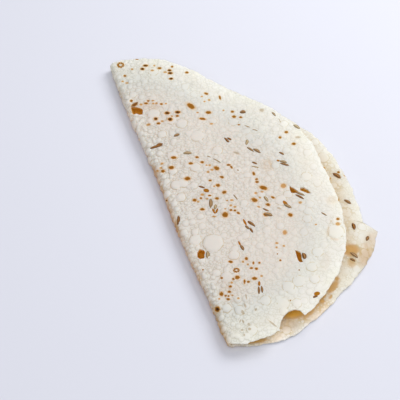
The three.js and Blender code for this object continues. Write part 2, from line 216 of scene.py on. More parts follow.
# Large blisters of the upper flap: their pixel and their radius in millimetres
LARGE_BLISTERS = (
    (213.5, 243, 4.9), (175.8, 185, 2.9), (182.5, 183.2, 2.8), (182, 123.5, 3.1), (306.5, 176.5, 2.7),
    (336, 231.5, 4.0), (336.5, 221, 2.5), (288.4, 286.6, 2.9), (299, 281.2, 2.9), (265.7, 300.3, 2.6),
    (283.6, 303.8, 2.9),
    (237.3, 299.5, 1.9), (227, 277.5, 3.0), (181, 197.5, 2.6), (187.5, 165, 2.1), (154, 114, 3.4),
    (162, 134.5, 2.5), (197.5, 136, 3.6), (172.5, 171.5, 2.4), (185, 87, 2.1), (310, 204, 2.2),
    (234, 255, 2.7), (226, 308.5, 2.4), (297, 303, 2.3), (252, 330, 2.6), (318, 252, 2.7),
    (159, 154, 1.9), (193, 222, 1.8), (200.5, 216.5, 1.9), (247, 175, 1.9), (262, 128, 2.0),
    (312, 267, 2.6), (315, 279, 2.4), (292, 291.5, 1.7),
)


@dataclass(frozen=True)
class Swell:
    """One broad rise or dip of a flap, in millimetres."""

    x: float
    y: float
    reach: float
    lift: float


@dataclass(frozen=True)
class Seed:
    """A cumin seed on a flap: its middle, direction, length and width.

    Lengths are in millimetres and the direction is in degrees. The tone runs from 0, dark
    brown, to 1, pale grey.
    """

    x: float
    y: float
    turn: float
    length: float
    width: float
    tone: float


UPPER_SEEDS = (
    Seed(19.0, 15.4, -23, 4.5, 1.5, 0.7), Seed(40.1, 15.2, -75, 4.8, 1.0, 0.2),
    Seed(41.6, 15.5, -58, 3.1, 0.9, 0.15), Seed(49.0, 10.2, -120, 3.6, 1.3, 0.8),
    Seed(49.0, 5.3, -61, 4.7, 0.9, 0.45), Seed(51.7, 3.1, -57, 4.8, 1.3, 0.5),
    Seed(54.6, 29.8, -27, 3.3, 1.9, 0.35), Seed(47.9, -3.2, -47, 3.1, 0.9, 0.3),
    Seed(47.5, -5.6, -37, 4.6, 0.6, 0.8), Seed(68.2, 21.3, -79, 3.6, 0.9, 0.7),
    Seed(75.4, 8.6, -62, 4.4, 1.4, 0.9), Seed(62.3, -3.4, -56, 3.2, 0.9, 0.3),
    Seed(61.2, -8.3, -37, 4.1, 1.1, 0.7), Seed(61.3, -10.1, -42, 5.4, 1.0, 0.35),
    Seed(18.5, -6.7, -40, 3.6, 0.8, 0.05), Seed(19.3, -17.3, -109, 5.9, 1.5, 0.5),
    Seed(20.6, -20.2, -121, 3.3, 1.2, 0.75), Seed(2.0, -20.4, -118, 5.1, 1.4, 0.2),
    Seed(31.8, -18.5, -77, 4.0, 0.55, 0.6), Seed(45.1, -25.2, -79, 4.4, 1.2, 0.75),
    Seed(42.6, -31.2, -53, 3.6, 0.7, 0.3), Seed(42.8, -34.4, -39, 4.2, 1.6, 0.5),
    Seed(30.6, -37.2, -70, 2.9, 1.0, 0.35), Seed(31.8, -39.4, -81, 3.3, 0.9, 0.1),
    Seed(33.3, -36.1, -66, 5.1, 1.1, 0.25), Seed(61.6, -29.3, -46, 4.7, 1.0, 0.55),
    Seed(60.6, -30.6, -56, 5.2, 0.9, 0.15), Seed(53.2, -33.5, -56, 5.0, 1.3, 0.6),
    Seed(67.2, -44.2, -57, 3.9, 0.6, 0.5), Seed(8.0, -44.1, -110, 4.0, 1.6, 0.7),
    Seed(24.2, -46.9, -82, 3.5, 1.2, 0.35), Seed(23.0, -71.1, -109, 4.3, 0.9, 0.25),
    Seed(24.5, -71.2, -105, 3.8, 0.9, 0.3), Seed(49.2, -62.4, -96, 3.9, 1.7, 0.25),
    Seed(45.5, -84.2, -1, 2.7, 0.9, 0.2), Seed(17.8, 28.2, 1, 3.8, 1.4, 0.45),
    Seed(5.4, 25.5, -4, 7.4, 1.25, 0.15), Seed(7.4, 26.1, -2, 3.8, 1.3, 0.1),
    Seed(4.7, 56.2, 12, 5.0, 1.2, 0.0),
)
LOWER_SEEDS = (
    Seed(86.5, -19.0, -58, 5.1, 1.8, 0.2), Seed(84.5, -36.4, -66, 4.5, 1.4, 0.35),
    Seed(80.1, -52.2, -102, 4.3, 1.5, 0.1), Seed(74.0, -66.5, -61, 4.6, 1.3, 0.5),
    Seed(72.4, -68.4, -51, 3.0, 1.0, 0.3), Seed(83.9, -59.8, 33, 3.4, 1.4, 0.3),
    Seed(74.5, -54.3, -105, 3.2, 0.9, 0.1),
)

# Thin cumin stalks, by the pixels of their two ends
STALKS = (
    (206.3, 155.6, 211.4, 157.9), (213.2, 158.6, 220.8, 163), (244.1, 125.7, 250, 127.5),
    (252, 129.3, 257.9, 130.8), (263, 208.3, 269.6, 211.2), (236.8, 170.2, 239, 171),
)


def smooth_step(value: np.ndarray, low: float, high: float) -> np.ndarray:
    """Rise smoothly from 0 at low to 1 at high.

    Args:
        value: The numbers to map.
        low: Where the rise starts.
        high: Where it ends.

    Returns:
        The mapped numbers, from 0 to 1.
    """
    share = np.clip((value - low) / (high - low), 0, 1)
    return share * share * (3 - 2 * share)


@dataclass(frozen=True)
class Fade:
    """A smooth change from nothing at low to top at high."""

    low: float
    high: float
    top: float = 1.0

    def of(self, value: np.ndarray) -> np.ndarray:
        """Fade each of the values."""
        return self.top * smooth_step(value, self.low, self.high)


def unit(vectors: np.ndarray) -> np.ndarray:
    """Scale each row to length one."""
    return vectors / np.linalg.norm(vectors, axis=-1, keepdims=True)


def linear(code: str) -> tuple[float, float, float, float]:
    """Turn an sRGB hex colour into linear light.

    Args:
        code: The colour, such as "#E9E4DA".

    Returns:
        Red, green, blue and a full alpha.
    """
    parts = [int(code[place:place + 2], 16) / 255 for place in (1, 3, 5)]
    light = [part / 12.92 if part <= 0.04045 else ((part + 0.055) / 1.055) ** 2.4 for part in parts]
    return (*light, 1.0)


@dataclass
class FoldedForm:
    """The middle surface of the sheet, folded in half.

    Lengths are in millimetres of the fold frame, and angles in degrees.
    """

    thickness: float = 1.3
    fold_radius: float = 2.85
    wander_depth: float = 0.5
    wander_length: float = 14.0
    wander_shift: float = 0.6
    flap_width: float = 80.0
    lower_level: float = 1.1
    upper_rise: float = 6.0
    upper_sag: float = 0.25
    swell_start: float = 15.0
    middle_s: float = -5.0
    middle_v: float = -3.0
    reach: tuple[float, ...] = (
        91.9, 90.3, 84.1, 78.8, 79.0, 80.6, 84.1, 86.7, 93.6, 98.4, 98.1, 94.1,
        88.8, 94.7, 96.1, 97.4, 94.2, 89.3, 85.0, 79.5, 76.5, 76.5, 80.5, 87.0,
    )
    roughness: float = 0.175
    rim_waves: tuple[int, ...] = (53, 17, 31)
    fine_roughness: float = 0.11
    fine_waves: tuple[int, ...] = (97, 141, 223)
    nick_at: float = 177.0
    nick_spread: float = 4.0
    nick_depth: float = 2.2
    corner_from: float = 217.0
    corner_to: float = 239.0
    corner_extra: float = 7.8
    corner_starts: float = 0.85
    crease_x: float = 83.6
    crease_y: float = -53.4
    crease_turn: float = -29.6
    crease_slope: float = 0.6
    crease_softness: float = 0.8
    upper_swells: tuple[Swell, ...] = (
        Swell(26, 74, 20, 1.2), Swell(54, 44, 18, -3.2), Swell(80, 6, 22, 1.4),
        Swell(45, -15, 24, -0.8), Swell(62, -80, 18, 1.0),
    )
    lower_swells: tuple[Swell, ...] = (
        Swell(84, -58, 20, 5.0), Swell(88, 12, 22, 1.6), Swell(40, 74, 24, 1.2),
        Swell(50, -20, 22, 0.8),
    )
    fold_closeness: float = 0.45
    fold_band: float = 12.0
    rim_hold: int = 6
    probe: float = 0.05

    @property
    def bend(self) -> float:
        """Distance along the sheet from the fold line to where a flap starts."""
        return np.pi / 2 * self.fold_radius

    @property
    def fold_edge(self) -> float:
        """Distance of that place from the fold's outer edge, seen from above."""
        return self.thickness / 2 + self.fold_radius

    @property
    def fold_room(self) -> float:
        """How much longer the way along the sheet is than it looks from above."""
        return self.bend - self.fold_edge

    @property
    def fold_level(self) -> float:
        """Height of the fold line above the table."""
        return self.lower_level + self.fold_radius

    def rim_reach(self, turn: np.ndarray) -> np.ndarray:
        """Distance from the sheet's middle to its rim.

        Args:
            turn: Directions from the middle, in radians, from +v towards +s.

        Returns:
            The distances: a smooth closed curve with a slightly broken edge.
        """
        count = len(self.reach)
        place = np.mod(turn / (2 * np.pi), 1.0) * count
        index = np.floor(place).astype(int)
        t = place - index
        a, b, c, d = (np.array(self.reach)[(index + step) % count] for step in (-1, 0, 1, 2))
        smooth = b * (2 * t**3 - 3 * t**2 + 1) + c * (3 * t**2 - 2 * t**3)
        smooth += (c - a) / 2 * (t**3 - 2 * t**2 + t) + (d - b) / 2 * (t**3 - t**2)
        broken = sum(np.sin(waves * turn + order) for order, waves in enumerate(self.rim_waves))
        crumbs = sum(np.sin(waves * turn + order) for order, waves in enumerate(self.fine_waves))
        from_nick = (360 * place / count - self.nick_at) / self.nick_spread
        nick = self.nick_depth * np.exp(-from_nick**2)
        return smooth + self.roughness * broken + self.fine_roughness * crumbs - nick

    def corner_reach(self, turn: np.ndarray) -> np.ndarray:
        """How much further the cracked corner of the lower flap reaches.

        Args:
            turn: Directions from the middle, in radians.

        Returns:
            The extra distances, zero away from the corner.
        """
        degrees = np.mod(np.degrees(turn), 360.0)
        share = (degrees - self.corner_from) / (self.corner_to - self.corner_from)
        return np.where((share >= 0) & (share <= 1), self.corner_extra * share, 0.0)

    def ring_place(self, out: np.ndarray, turn: np.ndarray) -> tuple[np.ndarray, np.ndarray]:
        """Where a place of the round dough lies on the sheet, drawn closer across the fold.

        Args:
            out: Share of the way from the middle to the rim.
            turn: Directions from the middle, in radians.

        Returns:
            The places s and v.
        """
        corner = smooth_step(out, self.corner_starts, 1) * self.corner_reach(turn)
        distance = out * self.rim_reach(turn) + corner
        s = self.middle_s + distance * np.sin(turn)
        v = self.middle_v + distance * np.cos(turn)
        pull = self.fold_closeness * np.exp(-((s / self.fold_band) ** 2) / 2) * (1 - out**self.rim_hold)
        return s * (1 - pull), v

    def round_distance(self, s: np.ndarray, v: np.ndarray) -> np.ndarray:
        """Distance in from the round rim, roughly, below zero on the cracked corner."""
        turn = np.arctan2(s - self.middle_s, v - self.middle_v)
        return self.rim_reach(turn) - np.hypot(s - self.middle_s, v - self.middle_v)

    def rim_distance(self, s: np.ndarray, v: np.ndarray) -> np.ndarray:
        """Distance in from the rim, roughly, above zero all over the sheet."""
        turn = np.arctan2(s - self.middle_s, v - self.middle_v)
        return self.round_distance(s, v) + self.corner_reach(turn)

    def _swell(self, swells: tuple[Swell, ...], x: np.ndarray, y: np.ndarray) -> np.ndarray:
        """Sum the lifts of the broad swells at (x, y)."""
        return sum(
            one.lift * np.exp(-((x - one.x) ** 2 + (y - one.y) ** 2) / one.reach**2) for one in swells
        )

    def upper_height(self, x: np.ndarray, y: np.ndarray) -> np.ndarray:
        """Height of the upper flap's middle surface above the table.

        Args:
            x: Distances from the fold's outer edge.
            y: Places along the fold.

        Returns:
            The heights.
        """
        run = np.maximum(x - self.fold_edge, 0)
        share = run / self.flap_width
        rise = self.upper_rise * ((1 + self.upper_sag) * share - self.upper_sag * share**2)
        fade = smooth_step(run, 0, self.swell_start)
        return self.fold_level + self.fold_radius + rise + fade * self._swell(self.upper_swells, x, y)

    def lower_height(self, x: np.ndarray, y: np.ndarray) -> np.ndarray:
        """Height of the lower flap's middle surface, which drops past a crease at its corner.

        Args:
            x: Distances from the fold's outer edge.
            y: Places along the fold.

        Returns:
            The heights.
        """
        run = np.maximum(x - self.fold_edge, 0)
        turn = np.radians(self.crease_turn)
        past = (x - self.crease_x) * np.cos(turn) + (y - self.crease_y) * np.sin(turn)
        drop = self.crease_slope * (past + np.hypot(past, self.crease_softness)) / 2
        fade = smooth_step(run, 0, self.swell_start)
        return self.lower_level + fade * (self._swell(self.lower_swells, x, y) - drop)

    def middle(self, s: np.ndarray, v: np.ndarray) -> np.ndarray:
        """Points of the middle surface.

        Args:
            s: Places across the fold.
            v: Places along it.

        Returns:
            One row of x, y and z each.
        """
        side = np.sign(s)
        bow = np.clip(np.abs(s), 0, self.bend) / self.fold_radius
        run = np.maximum(np.abs(s) - self.bend, 0)
        wave = np.sin(v / self.wander_length + self.wander_shift)
        wander = self.wander_depth * wave * np.exp(-((s / self.wander_length) ** 2))
        x = self.thickness / 2 + self.fold_radius * (1 - np.cos(bow)) + run + wander
        on_bend = self.fold_level + side * self.fold_radius * np.sin(bow)
        on_flap = np.where(side > 0, self.upper_height(x, v), self.lower_height(x, v))
        return np.stack([x, v, np.where(run == 0, on_bend, on_flap)], axis=-1)

    def outward(self, s: np.ndarray, v: np.ndarray) -> np.ndarray:
        """Directions that point out of the fold, square to the sheet.

        Args:
            s: Places across the fold.
            v: Places along it.

        Returns:
            One row of unit length each.
        """
        across = self.middle(s + self.probe, v) - self.middle(s - self.probe, v)
        along = self.middle(s, v + self.probe) - self.middle(s, v - self.probe)
        return unit(np.cross(across, along))


@dataclass
class Blisters:
    """Round bubbles all over one face, none wholly on top of another."""

    form: FoldedForm
    seed: int
    known: tuple[tuple[float, float, float], ...] = ()
    seeded: tuple[tuple[float, float], ...] = ()
    seed_room: float = 0.7
    tries: tuple[int, ...] = (34, 480, 3000, 20000)
    radii: tuple[tuple[float, float], ...] = ((2.2, 3.2), (1.5, 2.2), (0.95, 1.5), (0.55, 0.95))
    smallness: float = 1.5
    spacing: float = 0.78
    rise: float = 0.26
    least_rise: float = 0.6
    pillow: float = 1.6
    broad_from: float = 2.0
    broad_rise: float = 0.03
    least_modelled: float = 0.75
    look_round: float = 2.5
    rows: np.ndarray = field(init=False)

    def __post_init__(self) -> None:
        """Strew the bubbles, after the known ones."""
        draw = np.random.default_rng(self.seed)
        rows = np.zeros((sum(self.tries) + len(self.known), 4))
        count = len(self.known)
        for index, known in enumerate(self.known):
            rows[index] = (*known, self.rise)
        for tries, (low, high) in zip(self.tries, self.radii):
            s, v = self.form.ring_place(np.sqrt(draw.random(tries)), 2 * np.pi * draw.random(tries))
            radii = low + (high - low) * draw.random(tries) ** self.smallness
            rises = self.rise * (self.least_rise + (1 - self.least_rise) * draw.random(tries))
            for one in zip(s, v, radii, rises):
                gaps = np.hypot(rows[:count, 0] - one[0], rows[:count, 1] - one[1])
                from_seeds = [np.hypot(at_s - one[0], at_v - one[1]) for at_s, at_v in self.seeded]
                clear = min(from_seeds, default=np.inf) > one[2] + self.seed_room
                if clear and np.all(gaps > self.spacing * (rows[:count, 2] + one[2])):
                    rows[count] = one
                    count += 1
        self.rows = rows[:count]
        log.info("%d bubbles on one face", count)

    def nearest(self, corners: np.ndarray) -> tuple[np.ndarray, np.ndarray]:
        """Give each triangle the place of its corners about its two nearest bubbles.

        Args:
            corners: Triangles by three corners by s and v.

        Returns:
            For each of the two, triangles by three corners by the place in the bubble's
            own measure, where its edge is the unit circle, and its radius in millimetres.
        """
        middles = corners.mean(axis=1)
        order = np.argsort(middles[:, 1])
        middles = middles[order]
        gap = np.full((2, len(order)), np.inf)
        chosen = np.zeros((2, len(order)), int)
        for index, (at_s, at_v, radius, _) in enumerate(self.rows):
            reach = radius + self.look_round
            low, high = np.searchsorted(middles[:, 1], (at_v - reach, at_v + reach))
            distance = np.hypot(middles[low:high, 0] - at_s, middles[low:high, 1] - at_v) - radius
            first = low + np.flatnonzero(distance < gap[0, low:high])
            second = low + np.flatnonzero((distance >= gap[0, low:high]) & (distance < gap[1, low:high]))
            gap[1, first], chosen[1, first] = gap[0, first], chosen[0, first]
            gap[0, first], chosen[0, first] = distance[first - low], index
            gap[1, second], chosen[1, second] = distance[second - low], index
        both = np.empty((2, *corners.shape[:2], 3))
        for made, picks in zip(both, chosen):
            rows = self.rows[picks][:, None]
            made[order, :, :2] = (corners[order] - rows[..., :2]) / rows[..., 2:3]
            made[order, :, 2] = rows[..., 2]
        return both[0], both[1]

    def height(self, s: np.ndarray, v: np.ndarray) -> np.ndarray:
        """Height of the bubbles above the plain sheet.

        Args:
            s: Places across the fold.
            v: Places along it.

        Returns:
            The heights in millimetres.
        """
        order = np.argsort(v)
        sorted_s, sorted_v = s[order], v[order]
        sorted_height = np.zeros(len(s))
        for at_s, at_v, radius, rise in self.rows[self.rows[:, 2] > self.least_modelled]:
            low, high = np.searchsorted(sorted_v, (at_v - radius, at_v + radius))
            reach = np.hypot(sorted_s[low:high] - at_s, sorted_v[low:high] - at_v)
            depth = np.clip((radius - reach) / self.pillow, 0, 1)
            dome = rise * self.pillow * np.sqrt(depth * (2 - depth))
            if radius > self.broad_from:
                dome += self.broad_rise * radius * np.clip(1 - (reach / radius) ** 2, 0, 1)
            sorted_height[low:high] = np.maximum(sorted_height[low:high], dome)
        heights = np.empty(len(s))
        heights[order] = sorted_height
        return heights


@dataclass
class PhotoCamera:
    """The photograph's camera: its place, its aim and its lens.

    Lengths are in millimetres of the fold frame, and angles in degrees.
    """

    form: FoldedForm
    elevation: float = 55.0
    azimuth: float = -20.01
    distance: float = 520.0
    focal_pixels: float = 1053.23
    aim: tuple[float, float, float] = (15.94, -11.34, 5.0)
    sensor: float = 36.0
    sight_steps: int = 12

    @property
    def axes(self) -> tuple[np.ndarray, np.ndarray, np.ndarray]:
        """The camera's own directions.

        Returns:
            Those to the camera, to the picture's right and to its top.
        """
        turn, lift = np.radians(self.azimuth), np.radians(self.elevation)
        back = np.array([np.sin(turn) * np.cos(lift), -np.cos(turn) * np.cos(lift), np.sin(lift)])
        right = np.array([np.cos(turn), np.sin(turn), 0.0])
        return back, right, np.cross(back, right)

    def pixels(self, points: np.ndarray) -> np.ndarray:
        """Where points of the fold frame fall in the photograph.

        Args:
            points: One row of x, y and z in millimetres for each point.

        Returns:
            One row of pixel x and y for each point.
        """
        back, right, top = self.axes
        from_aim = points - np.array(self.aim)
        depth = self.distance - from_aim @ back
        half = IMAGE_SIDE / 2
        across = half + self.focal_pixels * (from_aim @ right) / depth
        down = half - self.focal_pixels * (from_aim @ top) / depth
        return np.stack([across, down], axis=-1)

    def onto_upper_flap(self, pixel_x: float, pixel_y: float) -> tuple[float, float]:
        """Follow a pixel's line of sight to the upper flap's outer face.

        Args:
            pixel_x: The pixel's place across the photograph.
            pixel_y: Its place down the photograph.

        Returns:
            The x and y of the point that it meets.
        """
        back, right, top = self.axes
        half = IMAGE_SIDE / 2
        sight = (pixel_x - half) / self.focal_pixels * right
        sight = sight + (half - pixel_y) / self.focal_pixels * top - back
        eye = np.array(self.aim) + self.distance * back
        height = self.form.fold_level
        for _ in range(self.sight_steps):
            point = eye + sight * (height - eye[2]) / sight[2]
            height = self.form.upper_height(point[0], point[1]) + self.form.thickness / 2
        return float(point[0]), float(point[1])

    def add(self) -> None:
        """Put the scene's camera there."""
        back, _, _ = self.axes
        bpy.ops.object.camera_add()
        camera = bpy.context.active_object
        camera.name = "photo_camera"
        camera.data.sensor_width = self.sensor
        camera.data.lens = self.focal_pixels / IMAGE_SIDE * self.sensor
        camera.location = (np.array(self.aim) + back * self.distance + FOLD_AT) * MM
        camera.rotation_euler = (-Vector(back)).to_track_quat("-Z", "Y").to_euler()
        bpy.context.scene.camera = camera


# An input or an output of a node
Socket = bpy.types.NodeSocket

# The numbers of a colour mix's two inputs and of its result
MIX_FROM, MIX_TO, MIX_RESULT = 6, 7, 2

# How wide the edge of a bubble shows, in millimetres
BUBBLE_EDGE = 0.35


def add_node(
    tree: bpy.types.NodeTree, kind: str, inputs: dict, output: str | int = 0, **settings: object
) -> Socket | None:
    """Add one shader node with its settings and its links.

    Args:
        tree: The material's nodes.
        kind: The node's type, such as Math.
        inputs: A value, or a socket to link from, for each input by name or number.
        output: The name or the number of the output that is wanted.
        settings: The node's properties by name.

    Returns:
        That output, or nothing from the last node of a material.
    """
    node = tree.nodes.new(f"ShaderNode{kind}")
    for name, value in settings.items():
        setattr(node, name, value)
    for name, value in inputs.items():
        if isinstance(value, Socket):
            tree.links.new(value, node.inputs[name])
        else:
            node.inputs[name].default_value = value
    return node.outputs[output] if node.outputs else None


def empty_material(name: str) -> bpy.types.Material:
    """Start a material that has no nodes yet.

    Args:
        name: The material's name.

    Returns:
        The material.
    """
    material = bpy.data.materials.new(name)
    material.use_nodes = True
    material.node_tree.nodes.clear()
    return material


class Trait(Enum):
    """What the dough's colours follow from place to place."""

    GOLDEN = "golden"
    PUFF = "puff"
    OVER_HOLLOW = "over_hollow"
    MOTTLE = "mottle"
    PATCH = "patch"
    DEPTH_IN_BUBBLE = "depth in bubble"
    FROM_BUBBLE_EDGE = "from bubble edge"
    BUBBLE_RADIUS = "bubble radius"
    OUT_OF_SPOT = "out of spot"
    SPOT_TONE = "spot tone"
    OUT_OF_SLIT = "out of slit"


@dataclass(frozen=True)
class Noise:
    """An uneven pattern: the size of its features in millimetres, and its fineness."""

    size: float
    detail: float


@dataclass(frozen=True)
class Layer:
    """One colour over the dough. It shows as much as its traits, each faded, let it."""

    name: str
    colour: str
    traits: tuple[tuple[Trait, Fade | None], ...]


@dataclass(frozen=True)
class RoastedDough:
    """Roasted lentil dough: a matte, starchy crisp, puffed dry over a flame.

    To the eye it is a warm white with small toasted spots, each a soft orange ring about a
    brown or black middle. The golden, tan and grey where it is folded in, in its slits,
    between its bubbles and round its large bubbles is painted shade, except along the fold,
    where the gold is partly toasting. Light that falls on its back glows through it.
    """

    cream: str = "#F9FAF6"
    layers: tuple[Layer, ...] = (
        Layer("warm mottling", "#F9F9F0", ((Trait.MOTTLE, Fade(0.35, 0.7, 0.8)),)),
        Layer("cool light over the hollow", "#F3FAF7", ((Trait.OVER_HOLLOW, None),)),
        # Painted shade: the valleys round the bubbles, the tan between them where the dough is golden,
        # and the tan edges of the large bubbles
        Layer("painted shade in the valleys round the bubbles", "#DCDCC9", (
            (Trait.PUFF, None), (Trait.FROM_BUBBLE_EDGE, Fade(BUBBLE_EDGE, 0.0, 0.45)),
        )),
        Layer("painted warm shade between the bubbles", "#D6C696", (
            (Trait.DEPTH_IN_BUBBLE, Fade(BUBBLE_EDGE, 0.0)), (Trait.GOLDEN, Fade(0.02, 0.3)),
            (Trait.PATCH, Fade(0.35, 0.65, 0.85)),
        )),
        Layer("painted shade at the edges of the large bubbles", "#D6C696", (
            (Trait.BUBBLE_RADIUS, Fade(1.7, 2.6, 0.5)), (Trait.FROM_BUBBLE_EDGE, Fade(BUBBLE_EDGE, 0.0)),
        )),
        # Painted warm shade between the flaps and in patches; along the fold the gold is partly toasting
        Layer("golden dough and painted warm shade", "#E0B982", ((Trait.GOLDEN, Fade(0.0, 0.55)),)),
        Layer("amber painted warm shade", "#FAC554", ((Trait.GOLDEN, Fade(0.5, 1.0)),)),
        Layer("dull smudge of the faintest spots", "#B09A70", (
            (Trait.OUT_OF_SPOT, Fade(1.3, 0.5, 0.6)), (Trait.SPOT_TONE, Fade(0.3, 0.18)),
        )),
        Layer("blush round the other spots", "#E9C780", (
            (Trait.OUT_OF_SPOT, Fade(1.9, 0.9, 0.5)), (Trait.SPOT_TONE, Fade(0.15, 0.3)),
        )),
        Layer("orange ring", "#CC9228", (
            (Trait.OUT_OF_SPOT, Fade(1.2, 0.8)), (Trait.SPOT_TONE, Fade(0.18, 0.36)),
        )),
        Layer("brown middle", "#96600F", (
            (Trait.OUT_OF_SPOT, Fade(1.0, 0.6, 0.78)), (Trait.SPOT_TONE, Fade(0.35, 0.65)),
        )),
        Layer("black heart", "#523010", (
            (Trait.OUT_OF_SPOT, Fade(0.8, 0.35)), (Trait.SPOT_TONE, Fade(0.65, 1.0)),
        )),
        # Painted shade of the hollow seen through the slits
        Layer("painted shade of the hollow in the open slits", "#B5780E", ((Trait.OUT_OF_SLIT, Fade(1.1, 0.9)),)),
    )
    mottle: Noise = Noise(14.0, 3.0)
    patch: Noise = Noise(6.0, 2.0)
    grain: Noise = Noise(0.7, 3.0)
    outline: Noise = Noise(2.6, 1.0)
    outline_sway_mm: float = 1.1
    wobble: Noise = Noise(0.6, 2.0)
    wobble_sway: float = 0.7
    pillow_mm: float = 1.1
    bubble_height_mm: float = 0.2
    grain_height_mm: float = 0.08
    grain_strength: float = 0.25
    roughness: float = 0.62
    refraction: float = 1.45
    specular: float = 0.3

    def make(self) -> bpy.types.Material:
        """Build the material.

        Returns:
            The material, which reads the sheet's own attributes.
        """
        material = empty_material("roasted_dough")
        tree = material.node_tree
        place = add_node(tree, "TexCoord", {}, "Object")
        mottle, patch, grain, outline, wobble = (
            add_node(
                tree, "TexNoise", {"Vector": place, "Scale": 1 / (one.size * MM), "Detail": one.detail}
            )
            for one in (self.mottle, self.patch, self.grain, self.outline, self.wobble)
        )
        golden, puff, over_hollow, glow = (
            add_node(tree, "Attribute", {}, "Fac", attribute_name=name)
            for name in ("golden", "puff", "over_hollow", "glow")
        )
        bubble, next_bubble, spot, slit = (
            self._measures(tree, name)
            for name in ("nearest_bubble", "next_bubble", "toasted_spot", "open_slit")
        )
        depth = self._depth(tree, (bubble, next_bubble), outline)
        sway = {0: wobble, 1: self.wobble_sway, 2: -self.wobble_sway / 2}
        sway = add_node(tree, "Math", sway, operation="MULTIPLY_ADD")
        colour = self._colour(tree, {
            Trait.GOLDEN: golden, Trait.PUFF: puff, Trait.OVER_HOLLOW: over_hollow,
            Trait.MOTTLE: mottle, Trait.PATCH: patch, Trait.DEPTH_IN_BUBBLE: depth,
            Trait.FROM_BUBBLE_EDGE: add_node(tree, "Math", {0: depth}, operation="ABSOLUTE"),
            Trait.BUBBLE_RADIUS: bubble[1], Trait.SPOT_TONE: spot[1], Trait.OUT_OF_SLIT: slit[0],
            Trait.OUT_OF_SPOT: add_node(tree, "Math", {0: spot[0], 1: sway}, operation="ADD"),
        })
        shader = add_node(tree, "BsdfPrincipled", {
            "Base Color": colour, "Normal": self._normal(tree, depth, puff, grain),
            "Roughness": self.roughness, "IOR": self.refraction, "Specular IOR Level": self.specular,
        })
        thin = add_node(tree, "BsdfTranslucent", {"Color": colour})
        both = add_node(tree, "MixShader", {"Fac": glow, 1: shader, 2: thin})
        add_node(tree, "OutputMaterial", {"Surface": both})
        return material

    def _measures(self, tree: bpy.types.NodeTree, name: str) -> tuple[Socket, Socket]:
        """Read what the sheet holds about a mark or a bubble.

        Args:
            tree: The material's nodes.
            name: The attribute's name.

        Returns:
            How far out of its middle a place is, where 1 is its edge, and its third number.
        """
        held = add_node(tree, "Attribute", {}, "Vector", attribute_name=name)
        flat = add_node(tree, "VectorMath", {0: held, 1: (1, 1, 0)}, operation="MULTIPLY")
        out = add_node(tree, "VectorMath", {0: flat}, "Value", operation="LENGTH")
        return out, add_node(tree, "SeparateXYZ", {0: held}, "Z")

    def _depth(
        self, tree: bpy.types.NodeTree, bubbles: tuple[tuple[Socket, Socket], ...], outline: Socket
    ) -> Socket:
        """How far inside the swaying edge of the nearest bubble a place is.

        Args:
            tree: The material's nodes.
            bubbles: For the two nearest, how far out of it the place is, and its radius.
            outline: The noise that sways the edges.

        Returns:
            The depth in millimetres, below zero between the bubbles.
        """
        depths = []
        for out, radius in bubbles:
            inner = add_node(tree, "Math", {0: 1.0, 1: out}, operation="SUBTRACT")
            depths.append(add_node(tree, "Math", {0: inner, 1: radius}, operation="MULTIPLY"))
        deeper = add_node(tree, "Math", dict(enumerate(depths)), operation="MAXIMUM")
        sway = {0: outline, 1: self.outline_sway_mm, 2: -self.outline_sway_mm / 2}
        sway = add_node(tree, "Math", sway, operation="MULTIPLY_ADD")
        return add_node(tree, "Math", {0: deeper, 1: sway}, operation="ADD")

    def _colour(self, tree: bpy.types.NodeTree, traits: dict[Trait, Socket]) -> Socket:
        """Lay the colours over each other, from the plain dough to the spots and slits.

        Args:
            tree: The material's nodes.
            traits: What the colours follow.

        Returns:
            The colour.
        """
        colour = linear(self.cream)
        for layer in self.layers:
            share = 1.0
            for trait, fade in layer.traits:
                faded = traits[trait]
                if fade is not None:
                    ends = {"From Min": fade.low, "From Max": fade.high, "To Max": fade.top}
                    faded = add_node(
                        tree, "MapRange", {"Value": faded, **ends}, interpolation_type="SMOOTHSTEP"
                    )
                share = add_node(tree, "Math", {0: share, 1: faded}, operation="MULTIPLY")
            ends = {"Factor": share, MIX_FROM: colour, MIX_TO: linear(layer.colour)}
            colour = add_node(tree, "Mix", ends, MIX_RESULT, data_type="RGBA", label=layer.name)
        return colour

    def _normal(self, tree: bpy.types.NodeTree, depth: Socket, puff: Socket, grain: Socket) -> Socket:
        """Round each bubble's edge and roughen the dough with fine grains.

        Args:
            tree: The material's nodes.
            depth: How far inside a bubble a place is.
            puff: How boldly the dough puffed there.
            grain: The noise of the grains.

        Returns:
            The direction that the surface faces.
        """
        share = add_node(tree, "Math", {0: depth, 1: self.pillow_mm}, operation="DIVIDE", use_clamp=True)
        rest = add_node(tree, "Math", {0: 2.0, 1: share}, operation="SUBTRACT")
        square = add_node(tree, "Math", {0: share, 1: rest}, operation="MULTIPLY")
        dome = add_node(tree, "Math", {0: square}, operation="SQRT")
        height = add_node(tree, "Math", {0: dome, 1: puff}, operation="MULTIPLY")
        domes = {"Strength": 1.0, "Distance": self.bubble_height_mm * MM, "Height": height}
        grains = {"Strength": self.grain_strength, "Distance": self.grain_height_mm * MM, "Height": grain}
        return add_node(tree, "Bump", {**grains, "Normal": add_node(tree, "Bump", domes)})


